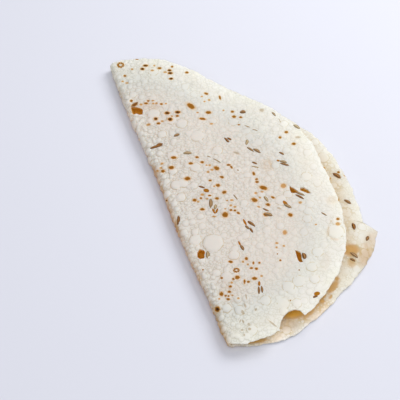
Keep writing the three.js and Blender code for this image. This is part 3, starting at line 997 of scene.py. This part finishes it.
@dataclass(frozen=True)
class CuminHusk:
    """The dry ribbed husk of cumin, split lengthwise by its ribs.

    To the eye it is dark in its grooves and pale straw along its ribs.
    """

    groove: str = "#3B2006"
    pale_groove: str = "#8F7B52"
    rib: str = "#A4681A"
    pale_rib: str = "#D2C5A4"
    paleness: float = 1.7
    roughness: float = 0.7
    specular: float = 0.3

    def make(self) -> bpy.types.Material:
        """Build the material.

        Returns:
            The material, which reads each seed's ribs and tone.
        """
        material = empty_material("cumin_husk")
        tree = material.node_tree
        rib, tone = (
            add_node(tree, "Attribute", {}, "Fac", attribute_name=name) for name in ("rib", "tone")
        )
        paleness = add_node(tree, "Math", {0: tone, 1: self.paleness}, operation="POWER")
        ends = [
            {"Factor": paleness, MIX_FROM: linear(dark), MIX_TO: linear(pale)}
            for dark, pale in ((self.groove, self.pale_groove), (self.rib, self.pale_rib))
        ]
        groove, crest = (add_node(tree, "Mix", end, MIX_RESULT, data_type="RGBA") for end in ends)
        ends = {"Factor": rib, MIX_FROM: groove, MIX_TO: crest}
        shader = add_node(tree, "BsdfPrincipled", {
            "Base Color": add_node(tree, "Mix", ends, MIX_RESULT, data_type="RGBA"),
            "Roughness": self.roughness, "Specular IOR Level": self.specular,
        })
        add_node(tree, "OutputMaterial", {"Surface": shader})
        return material


@dataclass(frozen=True)
class PaleTable:
    """A matte painted table top: cool and pale, so that the warm dough stands out."""

    colour: str = "#CDCED6"
    roughness: float = 0.9

    def make(self) -> bpy.types.Material:
        """Build the material.

        Returns:
            The material.
        """
        material = bpy.data.materials.new("pale_table")
        material.use_nodes = True
        shader = material.node_tree.nodes["Principled BSDF"]
        shader.inputs["Base Color"].default_value = linear(self.colour)
        shader.inputs["Roughness"].default_value = self.roughness
        return material


def start_piece(name: str) -> bpy.types.Object:
    """Name the primitive that was just added, or the piece that was just joined.

    Args:
        name: The name.

    Returns:
        The piece.
    """
    piece = bpy.context.active_object
    piece.name = name
    piece.data.name = name
    return piece


def clear_selection() -> None:
    """Deselect everything."""
    bpy.ops.object.select_all(action="DESELECT")


@contextmanager
def editing() -> Iterator[None]:
    """Work on the whole of the active piece's mesh."""
    bpy.ops.object.mode_set(mode="EDIT")
    bpy.ops.mesh.select_all(action="SELECT")
    yield
    bpy.ops.object.mode_set(mode="OBJECT")


def raise_slab(height: float) -> None:
    """Extrude the flat mesh that is edited upwards, and turn all its faces outwards.

    Args:
        height: How far up.
    """
    bpy.ops.mesh.extrude_region_move(TRANSFORM_OT_translate={"value": (0, 0, height)})
    bpy.ops.mesh.select_all(action="SELECT")
    bpy.ops.mesh.normals_make_consistent(inside=False)


def coordinates(mesh: bpy.types.Mesh) -> np.ndarray:
    """Read a mesh's points.

    Args:
        mesh: The mesh.

    Returns:
        One row of x, y and z each.
    """
    flat = np.empty(3 * len(mesh.vertices), np.float32)
    mesh.vertices.foreach_get("co", flat)
    return flat.reshape(-1, 3).astype(float)


def set_coordinates(mesh: bpy.types.Mesh, points: np.ndarray) -> None:
    """Write a mesh's points, one row each."""
    mesh.vertices.foreach_set("co", points.astype(np.float32).ravel())
    mesh.update()


def ellipse_place(points: np.ndarray, row: tuple[float, ...]) -> np.ndarray:
    """Measure points against one ellipse, which becomes the unit circle.

    Args:
        points: One row of two coordinates each.
        row: The ellipse's middle, width and height, and how far it is turned in degrees.

    Returns:
        The points in the ellipse's own measure.
    """
    turn = np.radians(row[4]) if len(row) > 4 else 0.0
    across, down = points[..., 0] - row[0], points[..., 1] - row[1]
    along = across * np.cos(turn) + down * np.sin(turn)
    aside = down * np.cos(turn) - across * np.sin(turn)
    return np.stack([2 * along / row[2], 2 * aside / row[3]], axis=-1)


def ellipse_reach(points: np.ndarray, row: tuple[float, ...]) -> np.ndarray:
    """How far out of an ellipse's middle each point is, where 1 is its edge."""
    return np.linalg.norm(ellipse_place(points, row), axis=-1)


@dataclass
class Marks:
    """Small ellipses on the sheet, each with a tone, in one flat measure."""

    rows: list[tuple[tuple[float, ...], float]]
    near: float = 4.0
    away: float = 9.0

    def measure(self, corners: np.ndarray) -> np.ndarray:
        """Give each triangle the place of its corners about its nearest mark.

        Args:
            corners: Triangles by three corners by two coordinates.

        Returns:
            Triangles by three corners by the mark's own two coordinates and its tone.
        """
        made = np.full((*corners.shape[:2], 3), self.away)
        made[..., 2] = 0.0
        best = np.full(len(corners), self.near)
        middles = corners.mean(axis=1)
        for row, tone in self.rows:
            size = self.near * max(row[2], row[3])
            close = np.flatnonzero(np.abs(middles - np.array(row[:2])).max(axis=1) < size)
            reach = ellipse_reach(middles[close], row)
            nearer = close[reach < best[close]]
            best[nearer] = reach[reach < best[close]]
            made[nearer, :, :2] = ellipse_place(corners[nearer], row)
            made[nearer, :, 2] = tone
        return made


@dataclass(frozen=True)
class Puff:
    """How boldly the dough puffed: most along the fold and in the middle of the flaps."""

    plain: float = 0.6
    at_fold: float = 0.65
    fold_reach: float = 24.0
    at_middle: float = 0.3
    middle_s: float = 38.0
    middle_v: float = -8.0
    reach_s: float = 26.0
    reach_v: float = 34.0
    sway: float = 0.1
    sway_s: float = 11.0
    sway_v: float = 13.0

    def at(self, s: np.ndarray, v: np.ndarray) -> np.ndarray:
        """The share of its full height that a blister has.

        Args:
            s: Places across the fold.
            v: Places along it.

        Returns:
            The shares, about 1.
        """
        off_s = (np.abs(s) - self.middle_s) / self.reach_s
        off_v = (v - self.middle_v) / self.reach_v
        by_fold = self.at_fold * np.exp(-((s / self.fold_reach) ** 2))
        by_middle = self.at_middle * np.exp(-(off_s**2) - off_v**2)
        sway = self.sway * np.sin(s / self.sway_s + 1) * np.sin(v / self.sway_v)
        return self.plain + by_fold + by_middle + sway


@dataclass(frozen=True)
class Gold:
    """How golden the dough is: painted warm shade deep between the flaps and in patches near the rim, and
    along the fold partly toasting, partly painted warm shade.
    """

    # Painted warm shade on the inner face: a little all over, and deep amber far in from the rim
    inner: float = 0.1
    inner_by_rim: tuple[Fade, ...] = (Fade(0, 8, 0.1), Fade(12, 26, 0.8))
    # Along the fold's side: partly toasted dough, partly painted warm shade
    fold: float = 0.35
    fold_sway: float = 0.15
    sway_short: float = 7.0
    sway_long: float = 17.0
    fold_far_loss: Fade = Fade(5, 50, 0.6)
    fold_above: Fade = Fade(-4, 0.5)
    fold_below: Fade = Fade(-16, -4)
    patch: Fade = Fade(1.2, 0.4)

    def at(self, form: FoldedForm, flat: np.ndarray, side: np.ndarray, pixels: np.ndarray) -> np.ndarray:
        """Work it out for the points of the sheet.

        Args:
            form: The sheet's form.
            flat: The points before the sheet was folded.
            side: Above zero for those nearer the outer face, and below for the inner one.
            pixels: Where the photograph shows them.

        Returns:
            Numbers from 0, plain, to 1, amber.
        """
        s, v = flat[:, 0], flat[:, 1]
        inside = form.round_distance(s, v)
        deep = sum(fade.of(inside) for fade in self.inner_by_rim)
        sway = self.fold_sway * np.sin(v / self.sway_short + 1) * np.sin(v / self.sway_long)
        fold = (self.fold + sway) * (1 - self.fold_far_loss.of(v))
        outer = fold * self.fold_above.of(-s) * self.fold_below.of(s)
        plain = np.where(side < 0, self.inner + deep, outer)
        below, above = np.zeros(len(s)), np.zeros(len(s))
        for patches, rows in ((below, GOLDEN_SHADE_PATCHES), (above, TAN_SHADE_PATCHES)):
            for *ellipse, strength in rows:
                reach = ellipse_reach(pixels, tuple(ellipse))
                np.maximum(patches, strength * self.patch.of(reach), out=patches)
        patches = np.where((side < 0) & (s < 0), below, np.where((side > 0) & (s > 0), above, 0))
        return np.clip(plain + patches, 0, 1)


@dataclass(frozen=True)
class StrewnSpots:
    """Toasted spots in loose clusters, where the photograph doesn't reach."""

    clusters: int = 34
    farthest: float = 0.97
    most_spots: int = 8
    spread_s: float = 5.0
    spread_v: float = 4.0
    least_width: float = 0.9
    more_width: float = 1.8
    least_height: float = 0.9
    more_height: float = 0.5
    chances: tuple[tuple[Tone, float], ...] = ((Tone.PALE, 0.45), (Tone.BROWN, 0.42), (Tone.BURNT, 0.13))

    def rows(self, form: FoldedForm, seed: int) -> list[tuple[tuple[float, ...], float]]:
        """Strew the spots of one face.

        Args:
            form: The sheet's form.
            seed: The start of the random draws.

        Returns:
            Rows of an ellipse in millimetres and its tone.
        """
        draw = np.random.default_rng(seed)
        tones, shares = zip(*self.chances)
        rows = []
        for _ in range(self.clusters):
            turn, out = 2 * np.pi * draw.random(), self.farthest * np.sqrt(draw.random())
            s, v = form.ring_place(np.array([out]), np.array([turn]))
            for _ in range(int(draw.integers(1, self.most_spots + 1))):
                at_s, at_v = s[0] + draw.normal(0, self.spread_s), v[0] + draw.normal(0, self.spread_v)
                width = self.least_width + self.more_width * draw.random() ** 2
                height = width * (self.least_height + self.more_height * draw.random())
                tone = tones[int(draw.choice(len(tones), p=shares))]
                rows.append(((at_s, at_v, width, height, 180 * draw.random()), tone.value))
        return rows


@dataclass
class PapadumSheet:
    """The sheet itself: rolled, punched, folded and blistered."""

    form: FoldedForm
    camera: PhotoCamera
    rings_first: int = 12
    rings_second: int = 10
    rim_bulge: float = 0.3
    rim_cuts: int = 3
    smooth_angle: float = 50.0
    rim_thinness: float = 0.65
    rim_taper: Fade = Fade(0, 5)
    hole_thinness: float = 0.85
    hole_taper: Fade = Fade(0, 1.5)
    rim_relief: float = 0.55
    more_relief: Fade = Fade(0, 3, 0.45)
    fold_relief: float = 0.45
    fold_relief_reach: float = 8.0
    puff: Puff = Puff()
    plain_glow: float = 0.48
    golden_glow: float = 0.18
    # Painted light: less glow at the lower flap's near corner brightens it in the upper flap's shade
    shade_lift_glow: float = -0.27
    shade_lift_reach: Fade = Fade(1.2, 0.7)
    over_hollow: Fade = Fade(4, 22)
    seen_past: float = -1.0
    outer: Blisters = field(init=False)
    inner: Blisters = field(init=False)
    hole_places: list[np.ndarray] = field(init=False)
    piece: bpy.types.Object = field(init=False)

    def __post_init__(self) -> None:
        """Strew the blisters and find where the holes are punched."""
        known = []
        for pixel_x, pixel_y, radius in LARGE_BLISTERS:
            x, y = self.camera.onto_upper_flap(pixel_x, pixel_y)
            known.append((x + self.form.fold_room, y, radius))
        room = self.form.fold_room
        above = tuple((seed.x + room, seed.y) for seed in UPPER_SEEDS)
        below = tuple((-seed.x - room, seed.y) for seed in LOWER_SEEDS)
        self.outer = Blisters(self.form, OUTER_BLISTERS, known=tuple(known), seeded=above)
        self.inner = Blisters(self.form, INNER_BLISTERS, seeded=below)
        self.hole_places = [self._flat_outline(rows) for rows in (*HOLE_OUTLINES, BURST_OUTLINE)]

    def _flat_outline(self, rows: tuple[tuple[float, float], ...]) -> np.ndarray:
        """Carry an outline from the photograph's pixels to the flat dough."""
        points = [self.camera.onto_upper_flap(*row) for row in rows]
        return np.array([(x + self.form.fold_room, y) for x, y in points])

    def build(self) -> bpy.types.Object:
        """Make the sheet.

        Returns:
            The finished mesh piece.
        """
        self._roll_dough()
        self._punch_holes()
        flat = coordinates(self.piece.data)
        self._fold(flat)
        self._mark(flat)
        bpy.ops.object.shade_smooth_by_angle(angle=np.radians(self.smooth_angle))
        self.piece.data.materials.clear()
        self.piece.data.materials.append(RoastedDough().make())
        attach(self.piece, "root")
        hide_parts("papadum")
        return self.piece

    def _roll_dough(self) -> None:
        """Roll the dough flat: a round slab of fine triangles with a rounded rim."""
        clear_selection()
        bpy.ops.mesh.primitive_circle_add(vertices=6, radius=1, fill_type="TRIFAN")
        self.piece = start_piece("papadum_sheet")
        with editing():
            bpy.ops.mesh.subdivide(number_cuts=self.rings_first - 1)
            bpy.ops.mesh.subdivide(number_cuts=self.rings_second - 1)
        set_coordinates(self.piece.data, self._rolled(coordinates(self.piece.data)))
        with editing():
            raise_slab(self.form.thickness)
            bpy.ops.mesh.select_mode(type="EDGE")
            bpy.ops.mesh.select_all(action="DESELECT")
        mesh = self.piece.data
        ends = np.empty(2 * len(mesh.edges), np.int32)
        mesh.edges.foreach_get("vertices", ends)
        levels = coordinates(mesh)[ends.reshape(-1, 2), 2]
        mesh.edges.foreach_set("select", np.abs(levels[:, 0] - levels[:, 1]) > self.form.thickness / 2)
        bpy.ops.object.mode_set(mode="EDIT")
        bpy.ops.mesh.subdivide(number_cuts=self.rim_cuts)
        bpy.ops.mesh.select_mode(type="FACE")
        bpy.ops.mesh.select_all(action="SELECT")
        bpy.ops.mesh.quads_convert_to_tris()
        bpy.ops.object.mode_set(mode="OBJECT")
        log.info("slab has %d triangles", len(mesh.polygons))
        points = coordinates(mesh)
        normals = np.empty(3 * len(mesh.vertices), np.float32)
        mesh.vertex_normals.foreach_get("vector", normals)
        across = 2 * points[:, 2:] / self.form.thickness - 1
        bulge = self.rim_bulge * np.sqrt(np.clip(1 - across**2, 0, 1))
        points[:, :2] += bulge * normals.reshape(-1, 3)[:, :2]
        set_coordinates(mesh, points)

    def _rolled(self, points: np.ndarray) -> np.ndarray:
        """Spread a hexagon of unit radius to the dough's uneven round.

        Args:
            points: The hexagon's points.

        Returns:
            The same points on the flat dough, in millimetres.
        """
        turn = np.mod(np.arctan2(points[:, 0], points[:, 1]), 2 * np.pi)
        sector = np.floor(turn / (np.pi / 3))
        low, high = sector * np.pi / 3, (sector + 1) * np.pi / 3
        whole = np.sin(np.pi / 3)
        first = (points[:, 0] * np.cos(high) - points[:, 1] * np.sin(high)) / -whole
        second = (points[:, 0] * np.cos(low) - points[:, 1] * np.sin(low)) / whole
        out = np.clip(first + second, 0, 1)
        share = sector + np.where(out > 0, second / np.maximum(out, NO_LENGTH), 0)
        s, v = self.form.ring_place(out, share * np.pi / 3)
        return np.stack([s, v, np.zeros(len(s))], axis=-1)

    def _punch_holes(self) -> None:
        """Punch the holes and the burst blister out of the flat dough."""
        cutters = []
        for outline in self.hole_places:
            clear_selection()
            bpy.ops.mesh.primitive_circle_add(vertices=len(outline), radius=1, fill_type="NGON")
            cutter = start_piece("cutter")
            below = np.full((len(outline), 1), -self.form.thickness)
            set_coordinates(cutter.data, np.hstack([outline, below]))
            with editing():
                raise_slab(3 * self.form.thickness)
                bpy.ops.mesh.quads_convert_to_tris()
            cutters.append(cutter)
        for cutter in cutters:
            cutter.select_set(True)
        bpy.ops.object.join()
        cutter = bpy.context.active_object
        punch = self.piece.modifiers.new("punch", "BOOLEAN")
        punch.operation = "DIFFERENCE"
        punch.object = cutter
        punch.solver = "MANIFOLD"
        clear_selection()
        self.piece.select_set(True)
        bpy.context.view_layer.objects.active = self.piece
        bpy.ops.object.modifier_apply(modifier=punch.name)
        bpy.data.objects.remove(cutter)
        with editing():
            bpy.ops.mesh.quads_convert_to_tris()

    def _hole_distance(self, s: np.ndarray, v: np.ndarray) -> np.ndarray:
        """Distance from the nearest edge of a hole.

        Args:
            s: Places across the fold, outside the holes.
            v: Places along it.

        Returns:
            The distances in millimetres.
        """
        best = np.full(len(s), np.inf)
        points = np.stack([s, v], axis=-1)
        for outline in self.hole_places:
            for start, end in zip(outline, np.roll(outline, -1, axis=0)):
                way = end - start
                share = np.clip((points - start) @ way / (way @ way), 0, 1)
                gap = np.linalg.norm(points - start - share[:, None] * way, axis=-1)
                best = np.minimum(best, gap)
        return best

    def _half_thickness(self, s: np.ndarray, v: np.ndarray) -> np.ndarray:
        """Half the sheet's thickness, thinner towards its rim and its holes.

        Args:
            s: Places across the fold.
            v: Places along it.

        Returns:
            The half thicknesses.
        """
        rim = self.rim_taper.of(self.form.rim_distance(s, v))
        hole = self.hole_taper.of(self._hole_distance(s, v))
        share = self.rim_thinness + (1 - self.rim_thinness) * rim
        share *= self.hole_thinness + (1 - self.hole_thinness) * hole
        return self.form.thickness / 2 * share

    def _relief(self, s: np.ndarray, v: np.ndarray, face: Face) -> np.ndarray:
        """Height of the blisters on one face: lower at the rim, and bolder round the fold.

        Args:
            s: Places across the fold.
            v: Places along it.
            face: The face.

        Returns:
            The heights above the plain sheet.
        """
        blisters = self.outer if face is Face.OUTER else self.inner
        at_rim = self.rim_relief + self.more_relief.of(self.form.rim_distance(s, v))
        at_fold = 1 + self.fold_relief * np.exp(-((s / self.fold_relief_reach) ** 2))
        return blisters.height(s, v) * at_rim * at_fold * self.puff.at(s, v)

    def _fold(self, flat: np.ndarray) -> None:
        """Fold the flat slab and raise its blisters.

        Args:
            flat: The slab's points, whose height tells one face from the other.
        """
        s, v = flat[:, 0], flat[:, 1]
        side = 2 * flat[:, 2] / self.form.thickness - 1
        offset = side * self._half_thickness(s, v)
        for face in Face:
            on_face = side * face.value > ON_FACE
            offset[on_face] += face.value * self._relief(s[on_face], v[on_face], face)
        points = self.form.middle(s, v) + offset[:, None] * self.form.outward(s, v)
        points[:, 2] = np.maximum(points[:, 2], TABLE_GAP)
        set_coordinates(self.piece.data, (points + FOLD_AT) * MM)

    def surface(self, s: float, v: float, face: Face) -> tuple[np.ndarray, np.ndarray]:
        """A point on a face and the direction that points away from it.

        Args:
            s: Place across the fold.
            v: Place along it.
            face: The face.

        Returns:
            The point in the fold frame, in millimetres, and the unit direction.
        """
        at_s, at_v = np.array([s]), np.array([v])
        out = face.value * self.form.outward(at_s, at_v)
        height = self._half_thickness(at_s, at_v) + self._relief(at_s, at_v, face)
        return (self.form.middle(at_s, at_v) + height[:, None] * out)[0], out[0]

    def _mark(self, flat: np.ndarray) -> None:
        """Store what the dough's look follows: gold, glow, puff, bubbles, spots and slits.

        Args:
            flat: The slab's points before it was folded.
        """
        s, v = flat[:, 0], flat[:, 1]
        side = 2 * flat[:, 2] / self.form.thickness - 1
        pixels = self.camera.pixels(coordinates(self.piece.data) / MM - FOLD_AT)
        golden = Gold().at(self.form, flat, side, pixels)
        shade_lift = self.shade_lift_reach.of(ellipse_reach(pixels, SHADE_LIFT_CORNER)) * (s < 0)
        glow = self.plain_glow + self.golden_glow * golden + self.shade_lift_glow * shade_lift
        over_hollow = self.over_hollow.of(self.form.round_distance(s, v)) * (side > 0) * (s > 0)
        for name, values in (
            ("golden", golden), ("glow", glow), ("puff", self.puff.at(s, v)),
            ("over_hollow", over_hollow),
        ):
            self._store(name, "FLOAT", "POINT", values)
        self._mark_corners(s, v, side, pixels)

    def _mark_corners(self, s: np.ndarray, v: np.ndarray, side: np.ndarray, pixels: np.ndarray) -> None:
        """Store each triangle's nearest bubbles, spot and slit at its corners.

        Args:
            s: Places of the slab's points across the fold.
            v: Places along it.
            side: Their height in the slab, from -1, the inner face, to 1, the outer one.
            pixels: Where the photograph shows them.
        """
        mesh = self.piece.data
        corners = np.empty(len(mesh.loops), np.int32)
        mesh.loops.foreach_get("vertex_index", corners)
        triangles = corners.reshape(-1, 3)
        upper = np.all(side[triangles] > ON_FACE, axis=1) & (s[triangles].mean(axis=1) > self.seen_past)
        seen = [(row, tone.value) for tone, rows in SEEN_SPOTS.items() for row in rows]
        seen += self._ring_rows()
        places = np.stack([s, v], axis=-1)
        spots, first, second = np.empty((3, len(triangles), 3, 3))
        for face, blisters, seed in (
            (Face.OUTER, self.outer, OUTER_SPOTS), (Face.INNER, self.inner, INNER_SPOTS),
        ):
            on_face = np.sign(side[triangles].sum(axis=1)) == face.value
            corner_places = places[triangles[on_face]]
            spots[on_face] = Marks(StrewnSpots().rows(self.form, seed)).measure(corner_places)
            first[on_face], second[on_face] = blisters.nearest(corner_places)
        slits = np.full((len(triangles), 3, 3), Marks.away)
        corner_pixels = pixels[triangles[upper]]
        spots[upper] = Marks(seen).measure(corner_pixels)
        slits[upper] = Marks([(row, 0.0) for row in OPEN_SLITS]).measure(corner_pixels)
        for name, values in (
            ("toasted_spot", spots), ("nearest_bubble", first), ("next_bubble", second),
            ("open_slit", slits),
        ):
            self._store(name, "FLOAT_VECTOR", "CORNER", values)

    def _store(self, name: str, kind: str, domain: str, values: np.ndarray) -> None:
        """Store an attribute on the mesh.

        Args:
            name: Its name.
            kind: Its type, a number or a vector.
            domain: What holds it, the points or the corners of the faces.
            values: Its values in their order.
        """
        stored = self.piece.data.attributes.new(name, kind, domain)
        key = "vector" if kind == "FLOAT_VECTOR" else "value"
        stored.data.foreach_set(key, values.astype(np.float32).ravel())

    def _ring_rows(self) -> list[tuple[tuple[float, ...], float]]:
        """Set small spots in a ring, for each bubble that burst.

        Returns:
            Rows of an ellipse in pixels and its tone.
        """
        turns = 2 * np.pi * np.arange(RING_SPOTS) / RING_SPOTS
        return [
            ((x + width / 2 * np.cos(turn), y + height / 2 * np.sin(turn), *RING_SPOT), tone.value)
            for x, y, width, height, tone in TOASTED_RINGS
            for turn in turns
        ]


@dataclass
class CuminSeeds:
    """All the cumin: ribbed seeds and thin stalks, half sunk in the dough."""

    sheet: PapadumSheet
    ribs: int = 5
    around: int = 25
    along: int = 12
    fullness: float = 1.3
    sunk: float = 0.02
    rib_depth: float = 0.16
    flatness: float = 0.7
    taper: float = 2.2
    tip_roundness: float = 0.75
    bow: float = 0.12
    # How much darker a seed's ribs are towards its ends, and as painted shade down its flanks
    tip_dimness: float = 0.5
    side_shade: float = 0.7
    stalk_width: float = 0.5
    stalk_tone: float = 0.7
    strewn_below: int = 26
    strewn_between: int = 14
    strewn_x: tuple[float, float] = (5.0, 66.0)
    strewn_y: tuple[float, float] = (-78.0, 146.0)
    strewn_reach: float = 78.0
    strewn_length: float = 3.4
    more_length: float = 1.8
    strewn_width: float = 1.2
    sunk_below: float = 0.3
    template: bpy.types.Object = field(init=False)

    def build(self) -> bpy.types.Object:
        """Make one seed, then set a copy of it at each place.

        Returns:
            The joined mesh piece.
        """
        self._model_seed()
        copies = [self._set(*row) for row in self._places()]
        bpy.data.objects.remove(self.template)
        clear_selection()
        for copy in copies:
            copy.select_set(True)
        bpy.context.view_layer.objects.active = copies[0]
        bpy.ops.object.join()
        piece = start_piece("cumin_seeds")
        bpy.ops.object.shade_smooth()
        piece.data.materials.clear()
        piece.data.materials.append(CuminHusk().make())
        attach(piece, "root")
        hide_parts("papadum")
        return piece

    def _model_seed(self) -> None:
        """Model one seed of unit length along X and unit width: a ribbed spindle."""
        clear_selection()
        bpy.ops.mesh.primitive_uv_sphere_add(segments=self.around, ring_count=self.along, radius=0.5)
        self.template = start_piece("seed")
        points = coordinates(self.template.data)
        along = points[:, 2] * 2
        turn = np.arctan2(points[:, 1], points[:, 0])
        rib = 0.5 + 0.5 * np.cos(self.ribs * turn - np.pi / 2)
        bare = np.hypot(points[:, 0], points[:, 1])
        radius = 0.5 * np.clip(1 - np.abs(along) ** self.taper, 0, 1) ** self.tip_roundness
        radius *= 1 - self.rib_depth * (1 - rib)
        radius[bare < NO_LENGTH] = 0
        bow = self.bow * (1 - along**2)
        shaped = np.stack([along / 2, radius * np.cos(turn) + bow, radius * np.sin(turn)], axis=-1)
        set_coordinates(self.template.data, shaped)
        stored = self.template.data.attributes.new("rib", "FLOAT", "POINT")
        # Painted shade: the ribs are darker down the seed's flanks than on its top, and darker towards
        # its ends too
        flank_shade = 1 - self.side_shade + self.side_shade * np.clip(np.sin(turn), 0, 1)
        crest = rib * (1 - self.tip_dimness * np.abs(along) ** 3) * flank_shade
        stored.data.foreach_set("value", crest.astype(np.float32))
        self.template.data.attributes.new("tone", "FLOAT", "POINT")

    def _places(self) -> list[tuple[Seed, float, Face]]:
        """Gather the seeds that show, the stalks, and seeds strewn where nothing shows.

        Returns:
            Each seed with its place across the fold and its face.
        """
        room = self.sheet.form.fold_room
        rows = [(seed, seed.x + room, Face.OUTER) for seed in UPPER_SEEDS]
        rows += [(seed, -seed.x - room, Face.INNER) for seed in LOWER_SEEDS]
        for from_x, from_y, to_x, to_y in STALKS:
            start = self.sheet.camera.onto_upper_flap(from_x, from_y)
            end = self.sheet.camera.onto_upper_flap(to_x, to_y)
            way = np.array(end) - np.array(start)
            stalk = Seed(
                (start[0] + end[0]) / 2, (start[1] + end[1]) / 2,
                float(np.degrees(np.arctan2(way[1], way[0]))), float(np.hypot(*way)),
                self.stalk_width, self.stalk_tone,
            )
            rows.append((stalk, stalk.x + room, Face.OUTER))
        draw = np.random.default_rng(STREWN_CUMIN)
        for count, face, side in (
            (self.strewn_below, Face.OUTER, -1), (self.strewn_between, Face.INNER, -1),
            (self.strewn_between, Face.INNER, 1),
        ):
            for _ in range(count):
                x, y = (start + span * draw.random() for start, span in (self.strewn_x, self.strewn_y))
                if np.hypot(x, y - self.sheet.form.middle_v) > self.strewn_reach:
                    continue
                turn = 360 * draw.random()
                length = self.strewn_length + self.more_length * draw.random()
                strewn = Seed(x, y, turn, length, self.strewn_width, draw.random())
                rows.append((strewn, side * (x + room), face))
        return rows

    def _set(self, seed: Seed, s: float, face: Face) -> bpy.types.Object:
        """Lay a copy of the seed on the dough.

        Args:
            seed: The seed's place, direction and size.
            s: Its place across the fold.
            face: The face that it lies on.

        Returns:
            The copy.
        """
        point, out = self.sheet.surface(s, seed.y, face)
        turn = np.radians(seed.turn)
        ahead = np.array([np.cos(turn), np.sin(turn), 0.0])
        ahead = unit(ahead - out * (ahead @ out))
        aside = np.cross(out, ahead)
        copy = self.template.copy()
        copy.data = self.template.data.copy()
        bpy.context.collection.objects.link(copy)
        width = self.fullness * seed.width
        shape = coordinates(copy.data) * np.array([seed.length, width, self.flatness * width])
        down = self.sunk * width + (self.sunk_below if face is Face.OUTER and s < 0 else 0.0)
        points = point + shape @ np.stack([ahead, aside, out]) - down * out
        points[:, 2] = np.maximum(points[:, 2], TABLE_GAP)
        set_coordinates(copy.data, (points + FOLD_AT) * MM)
        tone = np.full(len(points), seed.tone, np.float32)
        copy.data.attributes["tone"].data.foreach_set("value", tone)
        return copy


@dataclass
class Studio:
    """A pale table and soft light from the picture's right, filled in from the camera's side.

    Lengths are in metres here.
    """

    aim: tuple[float, float, float] = (0.0, 0.09, 0.005)
    table_side: float = 6.0
    key_from: tuple[float, float, float] = (0.62, 0.08, 0.78)
    key_distance: float = 0.7
    key_size: float = 0.45
    key_power: float = 3.8
    fill_from: tuple[float, float, float] = (-0.2, -0.44, 0.87)
    fill_distance: float = 3.0
    fill_size: float = 2.2
    fill_power: float = 47.0
    sky: str = "#F4F6FF"
    sky_strength: float = 0.45

    def build(self) -> None:
        """Make the table, the lamps and the even light of the room."""
        clear_selection()
        bpy.ops.mesh.primitive_plane_add(size=self.table_side)
        table = start_piece("table")
        table.data.materials.append(PaleTable().make())
        self._lamp("key_lamp", self.key_from, self.key_distance, self.key_size, self.key_power)
        self._lamp("fill_lamp", self.fill_from, self.fill_distance, self.fill_size, self.fill_power)
        world = bpy.data.worlds.new("room")
        world.use_nodes = True
        background = world.node_tree.nodes["Background"]
        background.inputs["Color"].default_value = linear(self.sky)
        background.inputs["Strength"].default_value = self.sky_strength
        bpy.context.scene.world = world
        bpy.context.scene.view_settings.view_transform = "Standard"

    def _lamp(
        self, name: str, way: tuple[float, ...], distance: float, size: float, power: float
    ) -> None:
        """Hang one square lamp that faces the papadum.

        Args:
            name: Its name.
            way: The direction to it from what it lights.
            distance: How far off it hangs.
            size: The length of its side.
            power: Its power in watts.
        """
        towards = Vector(way).normalized()
        bpy.ops.object.light_add(type="AREA")
        lamp = bpy.context.active_object
        lamp.name = name
        lamp.data.size = size
        lamp.data.energy = power
        lamp.location = Vector(self.aim) + towards * distance
        lamp.rotation_euler = towards.to_track_quat("Z", "Y").to_euler()


def main() -> None:
    """Build the camera, the papadum and the studio."""
    logging.basicConfig(level=logging.INFO, format="%(name)s: %(message)s")
    form = FoldedForm()
    camera = PhotoCamera(form)
    camera.add()
    sheet = PapadumSheet(form, camera)
    piece = sheet.build()
    log.info("%s has %d triangles", piece.name, len(piece.data.polygons))
    seeds = CuminSeeds(sheet).build()
    log.info("%s has %d faces", seeds.name, len(seeds.data.polygons))
    Studio().build()


if __name__ == "__main__":
    main()
